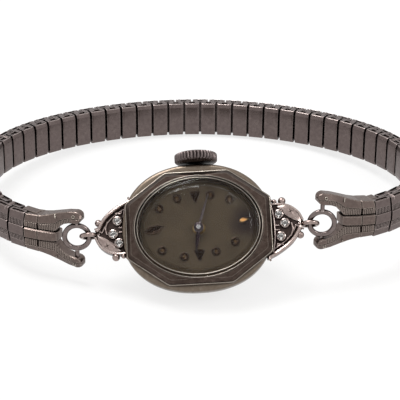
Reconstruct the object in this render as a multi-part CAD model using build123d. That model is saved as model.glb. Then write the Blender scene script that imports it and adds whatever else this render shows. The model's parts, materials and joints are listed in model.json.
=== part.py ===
from build123d import *
from math import atan2, cos, degrees, hypot, pi, radians, sin, tan
import os

# Small oval ladies' wristwatch on an expansion bracelet.
# Lengths are millimetres. +Z is up, the dial faces -Y, the twelve lies towards -X and the
# crown points up. The watch stands on the edge of its bracelet as in the picture.
# The origin is the centre of the bottom of its box.

os.makedirs("parts", exist_ok=True)

# Shared clearances
run_gap = 0.02          # radial play of a pivot in its jewel
seat_gap = 0.03         # play of a part dropped in its seat
free_gap = 0.08         # gap between parts that pass each other
overrun = 0.5           # how far a cutter reaches past what it cuts

# The movement's oval main plate: half sizes that the case, bezel and crystal are built round
plate_half_length = 6.6
plate_half_height = 5.5
plate_bottom = -0.55
plate_top = 0.25

# Case, seen from the front: half sizes of its ovals
plate_clearance = 0.25
case_end_wall = 1.65
case_side_wall = 1.55
cavity_half_length = plate_half_length + plate_clearance
cavity_half_height = plate_half_height + plate_clearance
case_half_length = cavity_half_length + case_end_wall
case_half_height = cavity_half_height + case_side_wall
case_bottom = -2.0
case_top = 1.0
case_edge_round = 0.7
back_lip_wall = 0.35
back_lip_depth = 0.7
back_depth = 1.6
back_wall = 0.4
back_taper = 28.0
back_rim_inset = 0.45

# Eight-sided bezel
bezel_end_step = 0.3       # how far the bezel stays inside the case at its ends
bezel_side_step = 0.8
bezel_half_length = case_half_length - bezel_end_step
bezel_half_height = case_half_height - bezel_side_step
bezel_side_half = 3.15
bezel_top_half = 3.6
bezel_foot = 0.45
bezel_slope_height = 0.75
bezel_slope_angle = 38.0
bezel_ledge = 0.3
bezel_ledge_width = 0.45

# Crystal
bezel_end_width = 1.15
bezel_side_width = 0.8
crystal_half_length = bezel_half_length - bezel_end_width
crystal_half_height = bezel_half_height - bezel_side_width
crystal_wall = 0.55
crystal_side_taper = 11.0
crystal_height = 1.75
crystal_roof = 0.55
crystal_dome_radius = 34.0

# Dial and hands
dial_thickness = 0.2
dial_top = 0.95
dial_hole_radius = 0.75
marker_height = 0.12
marker_width = 0.5
marker_length = 0.75
marker_end_inset = 1.6     # how far the ring of markers stays inside the plate's oval
marker_side_inset = 1.5
hour_hand_length = 2.75
hour_hand_width = 0.42
hour_hand_bottom = 1.22
minute_hand_length = 3.95
minute_hand_width = 0.3
minute_hand_bottom = 1.55
hand_thickness = 0.12
hand_boss_radius = 0.55
hand_tail = 0.75
hand_waist_share = 0.35
hours_shown = 9.0
minutes_shown = 18.0

# Main plate and bridges
dial_rim_width = 0.45
bridge_bottom = -1.55
bridge_thickness = 0.6
bridge_inset = 0.5
pillar_radius = 0.55
screw_radius = 0.28
screw_head_radius = 0.42
screw_head_height = 0.22
jewel_radius = 0.42
pivot_radius = 0.13

# Going train: each wheel turns in a jewel in the plate and one in the bridge
barrel_radius = 2.0
barrel_height = 0.55
barrel_clear_above = 0.06
center_wheel_radius = 1.7
center_wheel_level = -0.85
third_wheel_radius = 1.38
third_wheel_level = -1.28
fourth_wheel_radius = 1.18
fourth_wheel_level = -1.02
escape_wheel_radius = 0.85
escape_wheel_level = -1.34
wheel_thickness = 0.15
wheel_rim = 0.28
wheel_spoke = 0.22
arbor_radius = 0.2
center_pinion_radius = 0.48
third_pinion_radius = 0.38
fourth_pinion_radius = 0.34
escape_pinion_radius = 0.28
barrel_arbor_radius = 0.55
barrel_bearing = 25.5      # degrees below the twelve side, seen from the centre
third_bearing = -33.0
fourth_bearing = 24.5
escape_bearing = 45.0
fork_bearing = 125.0
fork_centres = 1.48
crown_wheel_bearing = 62.0

# Balance
balance_x = 2.75
balance_y = 2.75
balance_radius = 1.5
balance_rim = 0.22
balance_level = -1.5
balance_thickness = 0.14
spring_level = -1.7
spring_height = 0.06
spring_strip = 0.05
spring_inner_radius = 0.3
spring_pitch = 0.16
spring_half_turns = 7
cock_bottom = -1.8
cock_width = 1.3

# Keyless work and crown
stem_level = -0.15
stem_radius = 0.3
stem_square = 0.36
stem_slot_radius = 0.72
stem_inner_end = 2.3
stem_square_length = 1.2
clutch_radius = 0.58
clutch_length = 0.55
winding_pinion_radius = 0.62
winding_pinion_length = 0.5
crown_radius = 2.43
crown_knurl_height = 1.05
crown_bevel_height = 0.4
crown_bevel_share = 0.72
crown_dome_height = 0.25
crown_flutes = 30
crown_flute_radius = 0.1
crown_gap = 0.3
tube_radius = 0.62
tube_stand = 0.22
ratchet_radius = 1.45
crown_wheel_radius = 1.1
top_wheel_height = 0.25
top_wheel_teeth = 24
top_tooth_depth = 0.14

# Motion work under the dial
cannon_radius = 0.36
cannon_bore = 0.14
hour_pipe_radius = 0.6
hour_wheel_radius = 1.35
minute_wheel_radius = 0.95
motion_wheel_thickness = 0.16

# Shoulders beside the bezel, their eyes and stones
shoulder_thickness = 1.3
shoulder_seat = 0.9        # how far it reaches under the case's end
shoulder_root = case_half_length - shoulder_seat
shoulder_half = 3.85
shoulder_rim = 0.3
shoulder_rim_height = 0.35
eye_stand = 3.95
eye_centre = case_half_length + eye_stand
eye_ring_radius = 0.85
eye_wire_radius = 0.3
bead_radius = 0.45
small_bead_radius = 0.3
stone_radius = 0.42
stone_height = 0.3
collet_wall = 0.14

# Rings between the eyes and the bracelet ends
ring_hang = 1.35
ring_centre = eye_centre + ring_hang
ring_wire_radius = 0.28
ring_mean_radius = 1.4
trunnion_radius = 0.25
trunnion_seat = 0.7

# Bracelet ends
fork_tip_inner = 2.3
fork_tip_outer = 3.45
fork_nose = 0.75
fork_crotch = 2.1
fork_tongue_half = 1.15
fork_groove = 0.16
fork_groove_depth = 0.25
fork_tip_thickness = 1.5
fork_waist_shares = (0.72, 1.02)     # of its length and half width: where the arms start to part
fork_spread_share = 0.86             # of the tip's width, reached at the crotch
fork_mouth_share = 0.6
fork_taper_share = 0.75

# Bracelet: two layers of hollow links on an oval path
link_pitch = 2.1
link_gap = 0.15
link_width = 4.35
link_layer = 1.05
layer_gap = 0.12
link_wall = 0.2
link_edge_bevel = 0.4
link_bevel_depth = 0.15
staple_thickness = 0.16
staple_width = 0.3
staple_leg = 0.7
leaf_thickness = 0.1
loop_half_width = 25.0
loop_rear_depth = 17.6
loop_front_depth = 17.1
loop_front = -0.3
rear_power = 1.87
front_power = 2.8
stretch_links = 7          # links each side that part when the bracelet stretches
front_links = 4            # links each side between those and a bracelet end
end_least_length = 5.0     # what a bracelet end is left between its ring and the links

# Pose
head_lean = 37.0           # how far the head leans back from the bracelet's plane
head_roll = 4.0            # right end of the head stands higher


# Plane shapes and small helpers
def slab(outline, low, high):
    """An outline drawn at height zero, made solid from low to high."""
    return extrude(Pos(0, 0, low) * outline, amount=high - low)


def oval(half_length, half_height):
    """An oval outline."""
    return Ellipse(half_length, half_height)


def disc(radius, low, high, x=0, y=0):
    """An upright round solid."""
    return Pos(x, y, 0) * slab(Circle(radius), low, high)


def round_about(count):
    """Evenly spaced angles in degrees."""
    return [360 * step / count for step in range(count)]


def group(shapes):
    """Separate solids that share one node."""
    found = []
    for shape in shapes:
        found.extend(shape.solids())
    return Compound(children=found)


# Case
def case_blank():
    """The case's outer form, solid."""
    blank = slab(oval(case_half_length, case_half_height), case_bottom, case_top)
    return fillet(blank.edges(), case_edge_round)


def make_case_body():
    body = case_blank()
    body -= slab(oval(cavity_half_length, cavity_half_height), case_bottom - overrun, case_top + overrun)
    lip_top = case_bottom + back_lip_depth
    lip_length = cavity_half_length + back_lip_wall
    lip_height = cavity_half_height + back_lip_wall
    body -= slab(oval(lip_length, lip_height), case_bottom - overrun, lip_top)
    reach = case_half_height + overrun
    bore = Cylinder(tube_radius, reach, align=(Align.CENTER, Align.CENTER, Align.MIN))
    body -= Pos(0, 0, stem_level) * Rot(-90, 0, 0) * bore
    return body


back_slope = tan(radians(back_taper))


def dish(half_length, half_height, high, low):
    """An oval solid whose wall slopes in towards its foot."""
    inset = (high - low) * back_slope
    foot = Pos(0, 0, low) * oval(half_length - inset, half_height - inset)
    return loft([Pos(0, 0, high) * oval(half_length, half_height), foot])


def make_case_back():
    rim_length = case_half_length - back_rim_inset
    rim_height = case_half_height - back_rim_inset
    outer = dish(rim_length, rim_height, case_bottom, case_bottom - back_depth)
    hollow = dish(cavity_half_length, cavity_half_height, case_bottom, case_bottom - back_depth + back_wall)
    lip_wall = back_lip_wall - seat_gap
    lip_oval = oval(cavity_half_length + lip_wall, cavity_half_height + lip_wall)
    lip = slab(lip_oval, case_bottom, case_bottom + back_lip_depth - seat_gap)
    lip -= slab(oval(cavity_half_length, cavity_half_height), case_bottom - overrun, case_top)
    return (outer - hollow) + lip


def bezel_outline():
    """Eight corners of the bezel."""
    right = [(bezel_half_length, -bezel_side_half), (bezel_half_length, bezel_side_half),
             (bezel_top_half, bezel_half_height), (-bezel_top_half, bezel_half_height)]
    left = [(-x, -y) for x, y in right]
    return Polygon(*(right + left), align=None)


def crystal_oval(growth):
    """The crystal's foot, grown or drawn in."""
    return oval(crystal_half_length + growth, crystal_half_height + growth)


def make_bezel():
    foot_top = case_top + bezel_foot
    foot = slab(bezel_outline(), case_top, foot_top)
    slope = extrude(Pos(0, 0, foot_top) * bezel_outline(), amount=bezel_slope_height,
                    taper=bezel_slope_angle)
    bezel = foot + slope
    opening = crystal_oval(seat_gap - bezel_ledge_width)
    bezel -= slab(opening, case_top - overrun, foot_top + overrun)
    seat_top = foot_top + bezel_slope_height + overrun
    bezel -= slab(crystal_oval(seat_gap), case_top + bezel_ledge, seat_top)
    return bezel


def make_crystal():
    low = case_top + bezel_ledge
    outer = extrude(Pos(0, 0, low) * crystal_oval(0), amount=crystal_height, taper=crystal_side_taper)
    dome_centre = low + crystal_height - crystal_dome_radius
    outer &= Pos(0, 0, dome_centre) * Sphere(crystal_dome_radius)
    inner = extrude(Pos(0, 0, low) * crystal_oval(-crystal_wall), amount=crystal_height - crystal_roof,
                    taper=crystal_side_taper)
    return outer - inner


# Dial and hands
def hour_angle(hour):
    """Direction of an hour on the dial, in degrees from +X: twelve is at -X and three at +Y."""
    return 180 - 30 * hour


def make_dial():
    dial = slab(oval(plate_half_length - seat_gap, plate_half_height - seat_gap),
                dial_top - dial_thickness, dial_top)
    dial -= disc(dial_hole_radius, dial_top - dial_thickness - overrun, dial_top + overrun)
    return dial


def make_hour_markers():
    markers = []
    half_length = plate_half_length - marker_end_inset
    half_height = plate_half_height - marker_side_inset
    for hour in range(1, 13):
        turn = radians(hour_angle(hour))
        x = half_length * cos(turn)
        y = half_height * sin(turn)
        if hour % 3 == 0:
            outline = Polygon((-marker_length, 0), (marker_length, -marker_width),
                              (marker_length, marker_width), align=None)
        else:
            outline = Ellipse(marker_width, marker_width * (1 + cos(turn) ** 2) / 2)
        place = Pos(x, y, 0) * Rot(0, 0, degrees(atan2(y, x)) if hour % 3 == 0 else 0)
        markers.append(place * slab(outline, dial_top, dial_top + marker_height))
    return group(markers)


def hand_outline(length, width):
    """A lance-shaped hand along +X with a round boss."""
    waist = length * hand_waist_share
    blade = Polygon((-hand_tail, 0), (0, -width), (waist, -width / 2), (length, 0), (waist, width / 2),
                    (0, width), align=None)
    return blade + Circle(hand_boss_radius)


def make_hour_hand():
    turn = hour_angle(hours_shown + minutes_shown / 60)
    low = hour_hand_bottom
    blade = hand_outline(hour_hand_length, hour_hand_width)
    hand = Rot(0, 0, turn) * slab(blade, low, low + hand_thickness)
    pipe_low = dial_top - dial_thickness - motion_wheel_thickness - free_gap
    wheel = disc(hour_wheel_radius, pipe_low, pipe_low + motion_wheel_thickness)
    pipe = disc(hour_pipe_radius, pipe_low, low)
    hole = disc(cannon_radius + run_gap, pipe_low - overrun, low + overrun)
    return hand - hole, (wheel + pipe) - hole


def make_minute_hand():
    turn = 180 - 6 * minutes_shown
    low = minute_hand_bottom
    blade = hand_outline(minute_hand_length, minute_hand_width)
    hand = Rot(0, 0, turn) * slab(blade, low, low + hand_thickness)
    hand -= disc(cannon_radius - pivot_radius, low - overrun, low + overrun)
    return hand


def make_cannon_pinion():
    low = plate_top + free_gap
    body = disc(cannon_radius, low, minute_hand_bottom)
    body += disc(cannon_radius - pivot_radius, minute_hand_bottom, minute_hand_bottom + 2 * hand_thickness)
    body += disc(cannon_radius + pivot_radius, low, low + motion_wheel_thickness)
    body -= disc(cannon_bore + run_gap, low - overrun, minute_hand_bottom - hand_thickness)
    return body


def make_minute_wheel():
    low = plate_top + free_gap
    distance = cannon_radius + pivot_radius + free_gap + minute_wheel_radius
    wheel = disc(minute_wheel_radius, low, low + motion_wheel_thickness)
    wheel -= disc(pivot_radius + run_gap, low - overrun, low + overrun)
    return Pos(-distance, 0, 0) * wheel, distance


# Movement
bridge_top = bridge_bottom - bridge_thickness


def polar(centre, distance, bearing):
    """A point at a distance and bearing from another."""
    turn = radians(bearing)
    return centre[0] + distance * cos(turn), centre[1] + distance * sin(turn)


centre_axis = (0, 0)
barrel_axis = polar(centre_axis, barrel_radius + center_pinion_radius + free_gap, 180 + barrel_bearing)
third_axis = polar(centre_axis, center_wheel_radius + third_pinion_radius + free_gap, third_bearing)
fourth_axis = polar(third_axis, third_wheel_radius + fourth_pinion_radius + free_gap, fourth_bearing)
escape_axis = polar(fourth_axis, fourth_wheel_radius + escape_pinion_radius + free_gap, escape_bearing)
fork_axis = polar(escape_axis, fork_centres, fork_bearing)
balance_axis = (balance_x, balance_y)
pillar_shares = [(-0.758, 0.418), (-0.242, 0.791), (0.182, -0.8), (0.811, 0.382)]
pillar_axes = [(x * plate_half_length, y * plate_half_height) for x, y in pillar_shares]
jewelled_axes = [third_axis, fourth_axis, escape_axis]
crown_wheel_axis = polar(barrel_axis, ratchet_radius + crown_wheel_radius + free_gap, crown_wheel_bearing)


def spoked_wheel(radius, low, thickness):
    """A train wheel: rim, four spokes and hub."""
    high = low + thickness
    wheel = disc(radius, low, high)
    windows = slab(Circle(radius - wheel_rim), low - overrun, high + overrun)
    windows -= slab(Circle(arbor_radius + wheel_spoke), low - overrun, high + overrun)
    for turn in (0, 90):
        bar = Rot(0, 0, turn) * Rectangle(2 * radius, wheel_spoke)
        windows -= slab(bar, low - overrun, high + overrun)
    return wheel - windows


def train_wheel(axis, radius, level, pinion_radius, pinion_low, pinion_high):
    """A wheel with its arbor, pivots and pinion."""
    body = spoked_wheel(radius, level, wheel_thickness)
    body += disc(pinion_radius, pinion_low, pinion_high)
    body += disc(arbor_radius, bridge_bottom + run_gap, plate_bottom - run_gap)
    pivot_low = bridge_bottom - bridge_thickness / 2
    pivot_high = plate_bottom + bridge_thickness / 2
    body += disc(pivot_radius, pivot_low, pivot_high)
    return Pos(axis[0], axis[1], 0) * body


def stem_cut(radius):
    """Round cutter along the stem, open towards the crown."""
    reach = case_half_height
    rod = Cylinder(radius, reach, align=(Align.CENTER, Align.CENTER, Align.MIN))
    start = stem_inner_end - free_gap
    return Pos(0, start, stem_level) * Rot(-90, 0, 0) * rod


def make_main_plate():
    plate = slab(oval(plate_half_length, plate_half_height), plate_bottom, plate_top)
    rim_top = dial_top - dial_thickness
    rim = slab(oval(plate_half_length, plate_half_height), plate_top, rim_top)
    rim_inner = oval(plate_half_length - dial_rim_width, plate_half_height - dial_rim_width)
    rim -= slab(rim_inner, plate_top - overrun, rim_top + overrun)
    plate += rim
    for x, y in pillar_axes:
        plate += disc(pillar_radius, bridge_bottom, plate_bottom, x, y)
        plate -= disc(screw_radius, bridge_bottom - overrun, plate_bottom + bridge_thickness, x, y)
    for x, y in jewelled_axes + [fork_axis, balance_axis]:
        plate -= disc(jewel_radius, plate_bottom - overrun, plate_top + overrun, x, y)
    plate -= disc(arbor_radius + run_gap, plate_bottom - overrun, plate_top + overrun)
    plate -= disc(pivot_radius + run_gap, plate_bottom - overrun, plate_bottom + bridge_thickness,
                  barrel_axis[0], barrel_axis[1])
    wheel_distance = make_minute_wheel()[1]
    plate += disc(pivot_radius, plate_top, plate_top + motion_wheel_thickness, -wheel_distance, 0)
    plate -= stem_cut(stem_slot_radius)
    return plate


def balance_well():
    """Outline that leaves room for the balance and its cock."""
    return Pos(balance_x, balance_y, 0) * Circle(balance_radius + 2 * free_gap)


def cock_outline():
    """Outline of the balance cock: an arm from the rim to the balance staff."""
    foot_x, foot_y = pillar_axes[3]
    length = hypot(foot_x - balance_x, foot_y - balance_y)
    turn = degrees(atan2(foot_y - balance_y, foot_x - balance_x))
    arm = Rectangle(length, cock_width, align=(Align.MIN, Align.CENTER))
    return Pos(balance_x, balance_y, 0) * (Rot(0, 0, turn) * arm + Circle(cock_width / 2)
                                           + Rot(0, 0, turn) * Pos(length, 0, 0) * Circle(pillar_radius))


def make_train_bridge():
    outline = oval(plate_half_length - bridge_inset, plate_half_height - bridge_inset)
    outline -= balance_well()
    bridge = slab(outline, bridge_top, bridge_bottom)
    bridge -= slab(offset(cock_outline(), free_gap), bridge_top - overrun, bridge_bottom + overrun)
    corner_length = 2 * plate_half_length - 2 * balance_x + balance_radius
    corner_height = 2 * plate_half_height - 2 * balance_y
    corner = Pos(plate_half_length, plate_half_height, 0) * Rectangle(corner_length, corner_height)
    bridge -= slab(corner, bridge_top - overrun, bridge_bottom + overrun)
    for x, y in jewelled_axes:
        bridge -= disc(jewel_radius, bridge_top - overrun, bridge_bottom + overrun, x, y)
    for x, y in pillar_axes[:3]:
        bridge -= disc(screw_radius, bridge_top - overrun, bridge_bottom + overrun, x, y)
    bridge -= disc(pivot_radius + run_gap, bridge_top - overrun, bridge_bottom + overrun)
    bridge -= disc(barrel_arbor_radius + run_gap, bridge_top - overrun, bridge_bottom + overrun,
                   barrel_axis[0], barrel_axis[1])
    bridge -= stem_cut(stem_slot_radius)
    bridge += disc(screw_radius, bridge_top - top_wheel_height - run_gap, bridge_top,
                   crown_wheel_axis[0], crown_wheel_axis[1])
    return max(bridge.solids(), key=lambda solid: solid.volume)


def make_balance_cock():
    cock = slab(cock_outline(), bridge_top, cock_bottom)
    foot_x, foot_y = pillar_axes[3]
    cock += disc(pillar_radius, bridge_top, bridge_bottom, foot_x, foot_y)
    cock -= disc(screw_radius, bridge_top - overrun, bridge_bottom + overrun, foot_x, foot_y)
    cock -= disc(jewel_radius, bridge_top - overrun, cock_bottom + overrun, balance_x, balance_y)
    return cock


def make_barrel():
    high = bridge_bottom + barrel_clear_above + barrel_height
    low = bridge_bottom + barrel_clear_above
    drum = disc(barrel_radius, low, high)
    drum -= disc(barrel_arbor_radius + run_gap, low - overrun, high + overrun)
    return Pos(barrel_axis[0], barrel_axis[1], 0) * drum


def make_ratchet():
    """Ratchet wheel with the barrel arbor that it winds."""
    low = bridge_top - top_wheel_height - run_gap
    wheel = toothed_disc(ratchet_radius, low, low + top_wheel_height)
    arbor_high = bridge_bottom + barrel_clear_above + barrel_height
    wheel += disc(barrel_arbor_radius, low, arbor_high)
    wheel += disc(pivot_radius, arbor_high, plate_bottom + bridge_thickness / 2)
    return Pos(barrel_axis[0], barrel_axis[1], 0) * wheel


def toothed_disc(radius, low, high):
    """A disc with pointed teeth, drawn as a star of straight flanks."""
    points = []
    for turn in round_about(top_wheel_teeth):
        half = 180 / top_wheel_teeth
        tip = radians(turn)
        root = radians(turn + half)
        inner = radius - top_tooth_depth
        points.append((radius * cos(tip), radius * sin(tip)))
        points.append((inner * cos(root), inner * sin(root)))
    return slab(Polygon(*points, align=None), low, high)


def make_crown_wheel():
    low = bridge_top - top_wheel_height - run_gap
    wheel = toothed_disc(crown_wheel_radius, low, low + top_wheel_height)
    wheel -= disc(screw_radius + run_gap, low - overrun, low + top_wheel_height + overrun)
    return Pos(crown_wheel_axis[0], crown_wheel_axis[1], 0) * wheel


def make_pallet_fork():
    """Pallet fork: arms either side of the escape wheel and a lever to the balance."""
    low = escape_wheel_level + wheel_thickness + free_gap
    to_escape = degrees(atan2(escape_axis[1] - fork_axis[1], escape_axis[0] - fork_axis[0]))
    to_balance = degrees(atan2(balance_y - fork_axis[1], balance_x - fork_axis[0]))
    reach = hypot(balance_x - fork_axis[0], balance_y - fork_axis[1]) - jewel_radius
    lever = Rot(0, 0, to_balance) * Rectangle(reach, wheel_spoke, align=(Align.MIN, Align.CENTER))
    arms = Rot(0, 0, to_escape) * Rectangle(wheel_spoke, 2 * escape_wheel_radius)
    body = slab(Circle(arbor_radius) + lever + arms, low, low + wheel_thickness)
    cap = cock_bottom + balance_thickness + free_gap
    arbor_low = max(cap, balance_level + balance_thickness + free_gap)
    body += disc(pivot_radius, arbor_low, plate_bottom + bridge_thickness / 2)
    return Pos(fork_axis[0], fork_axis[1], 0) * body


def make_balance():
    high = balance_level + balance_thickness
    rim = disc(balance_radius, balance_level, high)
    rim -= disc(balance_radius - balance_rim, balance_level - overrun, high + overrun)
    bar = slab(Rectangle(2 * balance_radius - balance_rim, wheel_spoke), balance_level, high)
    staff = disc(arbor_radius, cock_bottom + run_gap, plate_bottom - run_gap)
    staff += disc(pivot_radius, cock_bottom - bridge_thickness / 3, plate_bottom + bridge_thickness / 2)
    return Pos(balance_x, balance_y, 0) * (rim + bar + staff)


def make_hairspring():
    """Flat spiral made of half rings whose radius grows by half a pitch each time."""
    strips = []
    for half_turn in range(spring_half_turns):
        radius = spring_inner_radius + half_turn * spring_pitch / 2
        shift = spring_pitch / 4 if half_turn % 2 else -spring_pitch / 4
        ring = Circle(radius + spring_strip) - Circle(radius)
        side = 1 if half_turn % 2 else -1
        half = Pos(0, side * radius * 2, 0) * Rectangle(4 * radius, 4 * radius)
        strips.append(Pos(shift, 0, 0) * (ring & half))
    outline = strips[0]
    for strip in strips[1:]:
        outline += strip
    outline += Circle(spring_inner_radius + spring_strip) - Circle(arbor_radius + run_gap)
    return Pos(balance_x, balance_y, 0) * slab(outline, spring_level, spring_level + spring_height)


def jewel(x, y, low, high):
    ring = disc(jewel_radius, low, high, x, y)
    return ring - disc(pivot_radius + run_gap, low - overrun, high + overrun, x, y)


def make_jewels():
    stones = []
    for x, y in jewelled_axes:
        stones.append(jewel(x, y, bridge_top, bridge_bottom))
        stones.append(jewel(x, y, plate_bottom, plate_top))
    for x, y in (fork_axis, balance_axis):
        stones.append(jewel(x, y, plate_bottom, plate_top))
    stones.append(jewel(balance_x, balance_y, bridge_top, cock_bottom))
    return group(stones)


def make_screws():
    screws = []
    for x, y in pillar_axes:
        head_low = bridge_top - screw_head_height
        screw = disc(screw_head_radius, head_low, bridge_top, x, y)
        screw += disc(screw_radius, bridge_top, plate_bottom, x, y)
        slot = Pos(x, y, 0) * slab(Rectangle(2 * screw_head_radius, screw_radius / 2), head_low - overrun,
                                   head_low + screw_head_height / 2)
        screws.append(screw - slot)
    return group(screws)


# Crown and keyless work, built along +Z and then laid along +Y
def along_stem(shape, start):
    """Lays a solid built along +Z on the stem's axis, from a distance out from the centre."""
    return Pos(0, start, stem_level) * Rot(-90, 0, 0) * shape


crown_start = case_half_height + crown_gap
crown_bore_depth = crown_bevel_height + crown_knurl_height / 2


def make_crown():
    bevel_radius = crown_radius * crown_bevel_share
    knurl_end = crown_bevel_height + crown_knurl_height
    dome_top = knurl_end + crown_dome_height
    profile = Polygon((0, 0), (bevel_radius, 0), (crown_radius, crown_bevel_height),
                      (crown_radius, knurl_end), (bevel_radius, dome_top), (0, dome_top), align=None)
    body = revolve(Plane.XZ * profile, Axis.Z)
    for turn in round_about(crown_flutes):
        flute = Circle(crown_flute_radius)
        body -= Rot(0, 0, turn) * Pos(crown_radius, 0, 0) * slab(flute, -overrun, knurl_end + overrun)
    body -= disc(tube_radius + tube_stand + free_gap, -overrun, crown_bore_depth)
    return along_stem(body, crown_start)


def make_stem():
    """Square at the inner end, round at the outer end, where the crown screws on."""
    end = crown_start + crown_bore_depth
    square = slab(Rectangle(stem_square, stem_square), 0, stem_square_length)
    rod = disc(stem_radius, stem_square_length, end - stem_inner_end)
    return along_stem(square + rod, stem_inner_end)


def make_clutch():
    body = disc(clutch_radius, 0, clutch_length)
    hole = Rectangle(stem_square + 2 * run_gap, stem_square + 2 * run_gap)
    body -= slab(hole, -overrun, clutch_length + overrun)
    return along_stem(body, stem_inner_end + free_gap)


def make_winding_pinion():
    body = disc(winding_pinion_radius, 0, winding_pinion_length)
    body -= disc(stem_radius + run_gap, -overrun, winding_pinion_length + overrun)
    start = stem_inner_end + stem_square_length + free_gap
    return along_stem(body, start)


def make_case_tube():
    start = cavity_half_height + seat_gap
    length = case_half_height - start + tube_stand
    body = disc(tube_radius, 0, length)
    body -= disc(stem_radius + run_gap, -overrun, length + overrun)
    return along_stem(body, start)


# Shoulders
leaf_shares = [(0.0, -1.0), (0.56, -0.58), (0.79, -0.11)]
belly_shares = [(0.89, 0.24), (0.62, 0.57), (0.24, 0.62), (0.0, 0.67)]
shoulder_reach = eye_centre - shoulder_root
collet_shares = [(0.3, -0.36), (0.42, 0.04), (0.62, 0.3)]
bead_shares = [(0.38, 0.7), (0.8, -0.38)]
small_bead_shares = [(0.2, 0.68)]
neck_share = 0.8


def leaf_point(share):
    """A point of the shoulder from shares of its reach and half height."""
    return shoulder_root + share[0] * shoulder_reach, share[1] * shoulder_half


def shoulder_outline():
    top = [leaf_point(share) for share in leaf_shares]
    belly = [leaf_point(share) for share in belly_shares]
    upper = ThreePointArc(*top)
    nose = Line(top[-1], belly[0])
    lower = Spline(*belly)
    close = Line(belly[-1], top[0])
    return make_face([upper, nose, lower, close])


def make_shoulder():
    """The shoulder at the six side: leaf plate, rim, eye, beads and stone collets."""
    low = -shoulder_thickness / 2
    high = shoulder_thickness / 2
    body = slab(shoulder_outline(), low, high)
    top = [leaf_point(share) for share in leaf_shares]
    rim = ThreePointArc(*top)
    ridge = trace(rim, shoulder_rim)
    body += slab(ridge, high, high + shoulder_rim_height)
    eye = Torus(eye_ring_radius, eye_wire_radius)
    body += Pos(eye_centre, 0, 0) * Rot(90, 0, 0) * eye
    neck = Rot(0, 90, 0) * Cylinder(eye_wire_radius, eye_ring_radius)
    body += Pos(leaf_point((neck_share, 0))[0], 0, 0) * neck
    for shares, radius in ((bead_shares, bead_radius), (small_bead_shares, small_bead_radius)):
        for share in shares:
            x, y = leaf_point(share)
            body += Pos(x, y, high - radius) * Sphere(radius)
    for share in collet_shares:
        x, y = leaf_point(share)
        body += disc(stone_radius + collet_wall, high, high + stone_height, x, y)
        body -= disc(stone_radius, high, high + stone_height + overrun, x, y)
    body -= case_blank()
    return max(body.solids(), key=lambda solid: solid.volume)


def make_stones():
    """Small brilliants: a table, a sloped crown and a point, one in each collet."""
    high = shoulder_thickness / 2
    table = stone_radius / 2
    profile = Polygon((0, 0), (stone_radius - run_gap, stone_height), (table, 2 * stone_height),
                      (0, 2 * stone_height), align=None)
    stone = revolve(Plane.XZ * profile, Axis.Z)
    stones = []
    for share in collet_shares:
        x, y = leaf_point(share)
        for turn in (0, 180):
            stones.append(Rot(0, 0, turn) * Pos(x, y, high) * stone)
    return group(stones)


# Bracelet path, in the bracelet's own frame: x to the right, y to the back, z across its width
loop_centre_depth = loop_front + loop_front_depth
path_samples = 1500


def inner_path(share):
    """Right half of the loop's inner face: share 0 is the middle of the back, 1 the front."""
    if share < 0.5:
        turn = pi / 2 * (1 - 2 * share)
        return (loop_half_width * cos(turn) ** (2 / rear_power),
                loop_centre_depth + loop_rear_depth * sin(turn) ** (2 / rear_power))
    turn = pi / 2 * (2 * share - 1)
    return (loop_half_width * cos(turn) ** (2 / front_power),
            loop_centre_depth - loop_front_depth * sin(turn) ** (2 / front_power))


path_points = [inner_path(step / path_samples) for step in range(path_samples + 1)]
path_lengths = [0.0]
for first, second in zip(path_points, path_points[1:]):
    path_lengths.append(path_lengths[-1] + hypot(second[0] - first[0], second[1] - first[1]))


def path_place(length):
    """Point and heading in degrees on the right half, at a length from the middle of the back."""
    step = max(i for i, reached in enumerate(path_lengths) if reached <= length)
    step = min(max(step, 1), path_samples - 1)
    before, after = path_points[step - 1], path_points[step + 1]
    share = (length - path_lengths[step]) / (path_lengths[step + 1] - path_lengths[step])
    x = path_points[step][0] + share * (path_points[step + 1][0] - path_points[step][0])
    y = path_points[step][1] + share * (path_points[step + 1][1] - path_points[step][1])
    return x, y, degrees(atan2(after[1] - before[1], after[0] - before[0]))


band_thickness = 2 * link_layer + layer_gap
ring_rise = ring_centre * sin(radians(head_roll))
ring_span = ring_centre * cos(radians(head_roll))
band_middle = link_width / 2


def rise(y):
    """How far the right side of the bracelet stands above its middle plane at a depth."""
    share = min(max(y / loop_centre_depth, 0), 1)
    return ring_rise * (1 + cos(pi * share)) / 2


def on_path(shape, length, side):
    """Places a solid drawn along +X with +Y outwards on the right (1) or left (-1) half."""
    x, y, heading = path_place(length)
    place = Pos(x, y, band_middle + side * rise(y)) * Rot(0, 0, heading)
    placed = place * shape
    return placed if side > 0 else mirror_x(placed)


def mirror_x(shape):
    """The same shape on the left half, at its own height."""
    return mirror(shape, about=Plane.YZ)


# Ring and bracelet end; the ring's centre is on the head's rocking axis
def make_ring():
    ring = Rot(90, 0, 0) * Torus(ring_mean_radius, ring_wire_radius)
    post_end = fork_tip_inner + trunnion_seat
    post_start = ring_mean_radius
    for turn in (0, 180):
        ring += Rot(turn, 0, 0) * disc(trunnion_radius, post_start, post_end)
    return ring


# As many links as leave a bracelet end its length, counted from the middle of the back
link_room = path_lengths[-1] - ring_span - end_least_length
links_each_side = int(link_room / link_pitch + 1 / 2)
first_stretch_link = links_each_side - front_links - stretch_links
root_length = (links_each_side - 1 / 2) * link_pitch


def fork_frame():
    """Where a bracelet end meets the first link: chord length and heading from the ring."""
    x, y, heading = path_place(root_length)
    turn = radians(heading)
    x += -sin(turn) * band_thickness / 2
    y += cos(turn) * band_thickness / 2
    return hypot(x - ring_span, y), degrees(atan2(y, x - ring_span)), heading


fork_length, fork_heading, root_heading = fork_frame()


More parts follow.
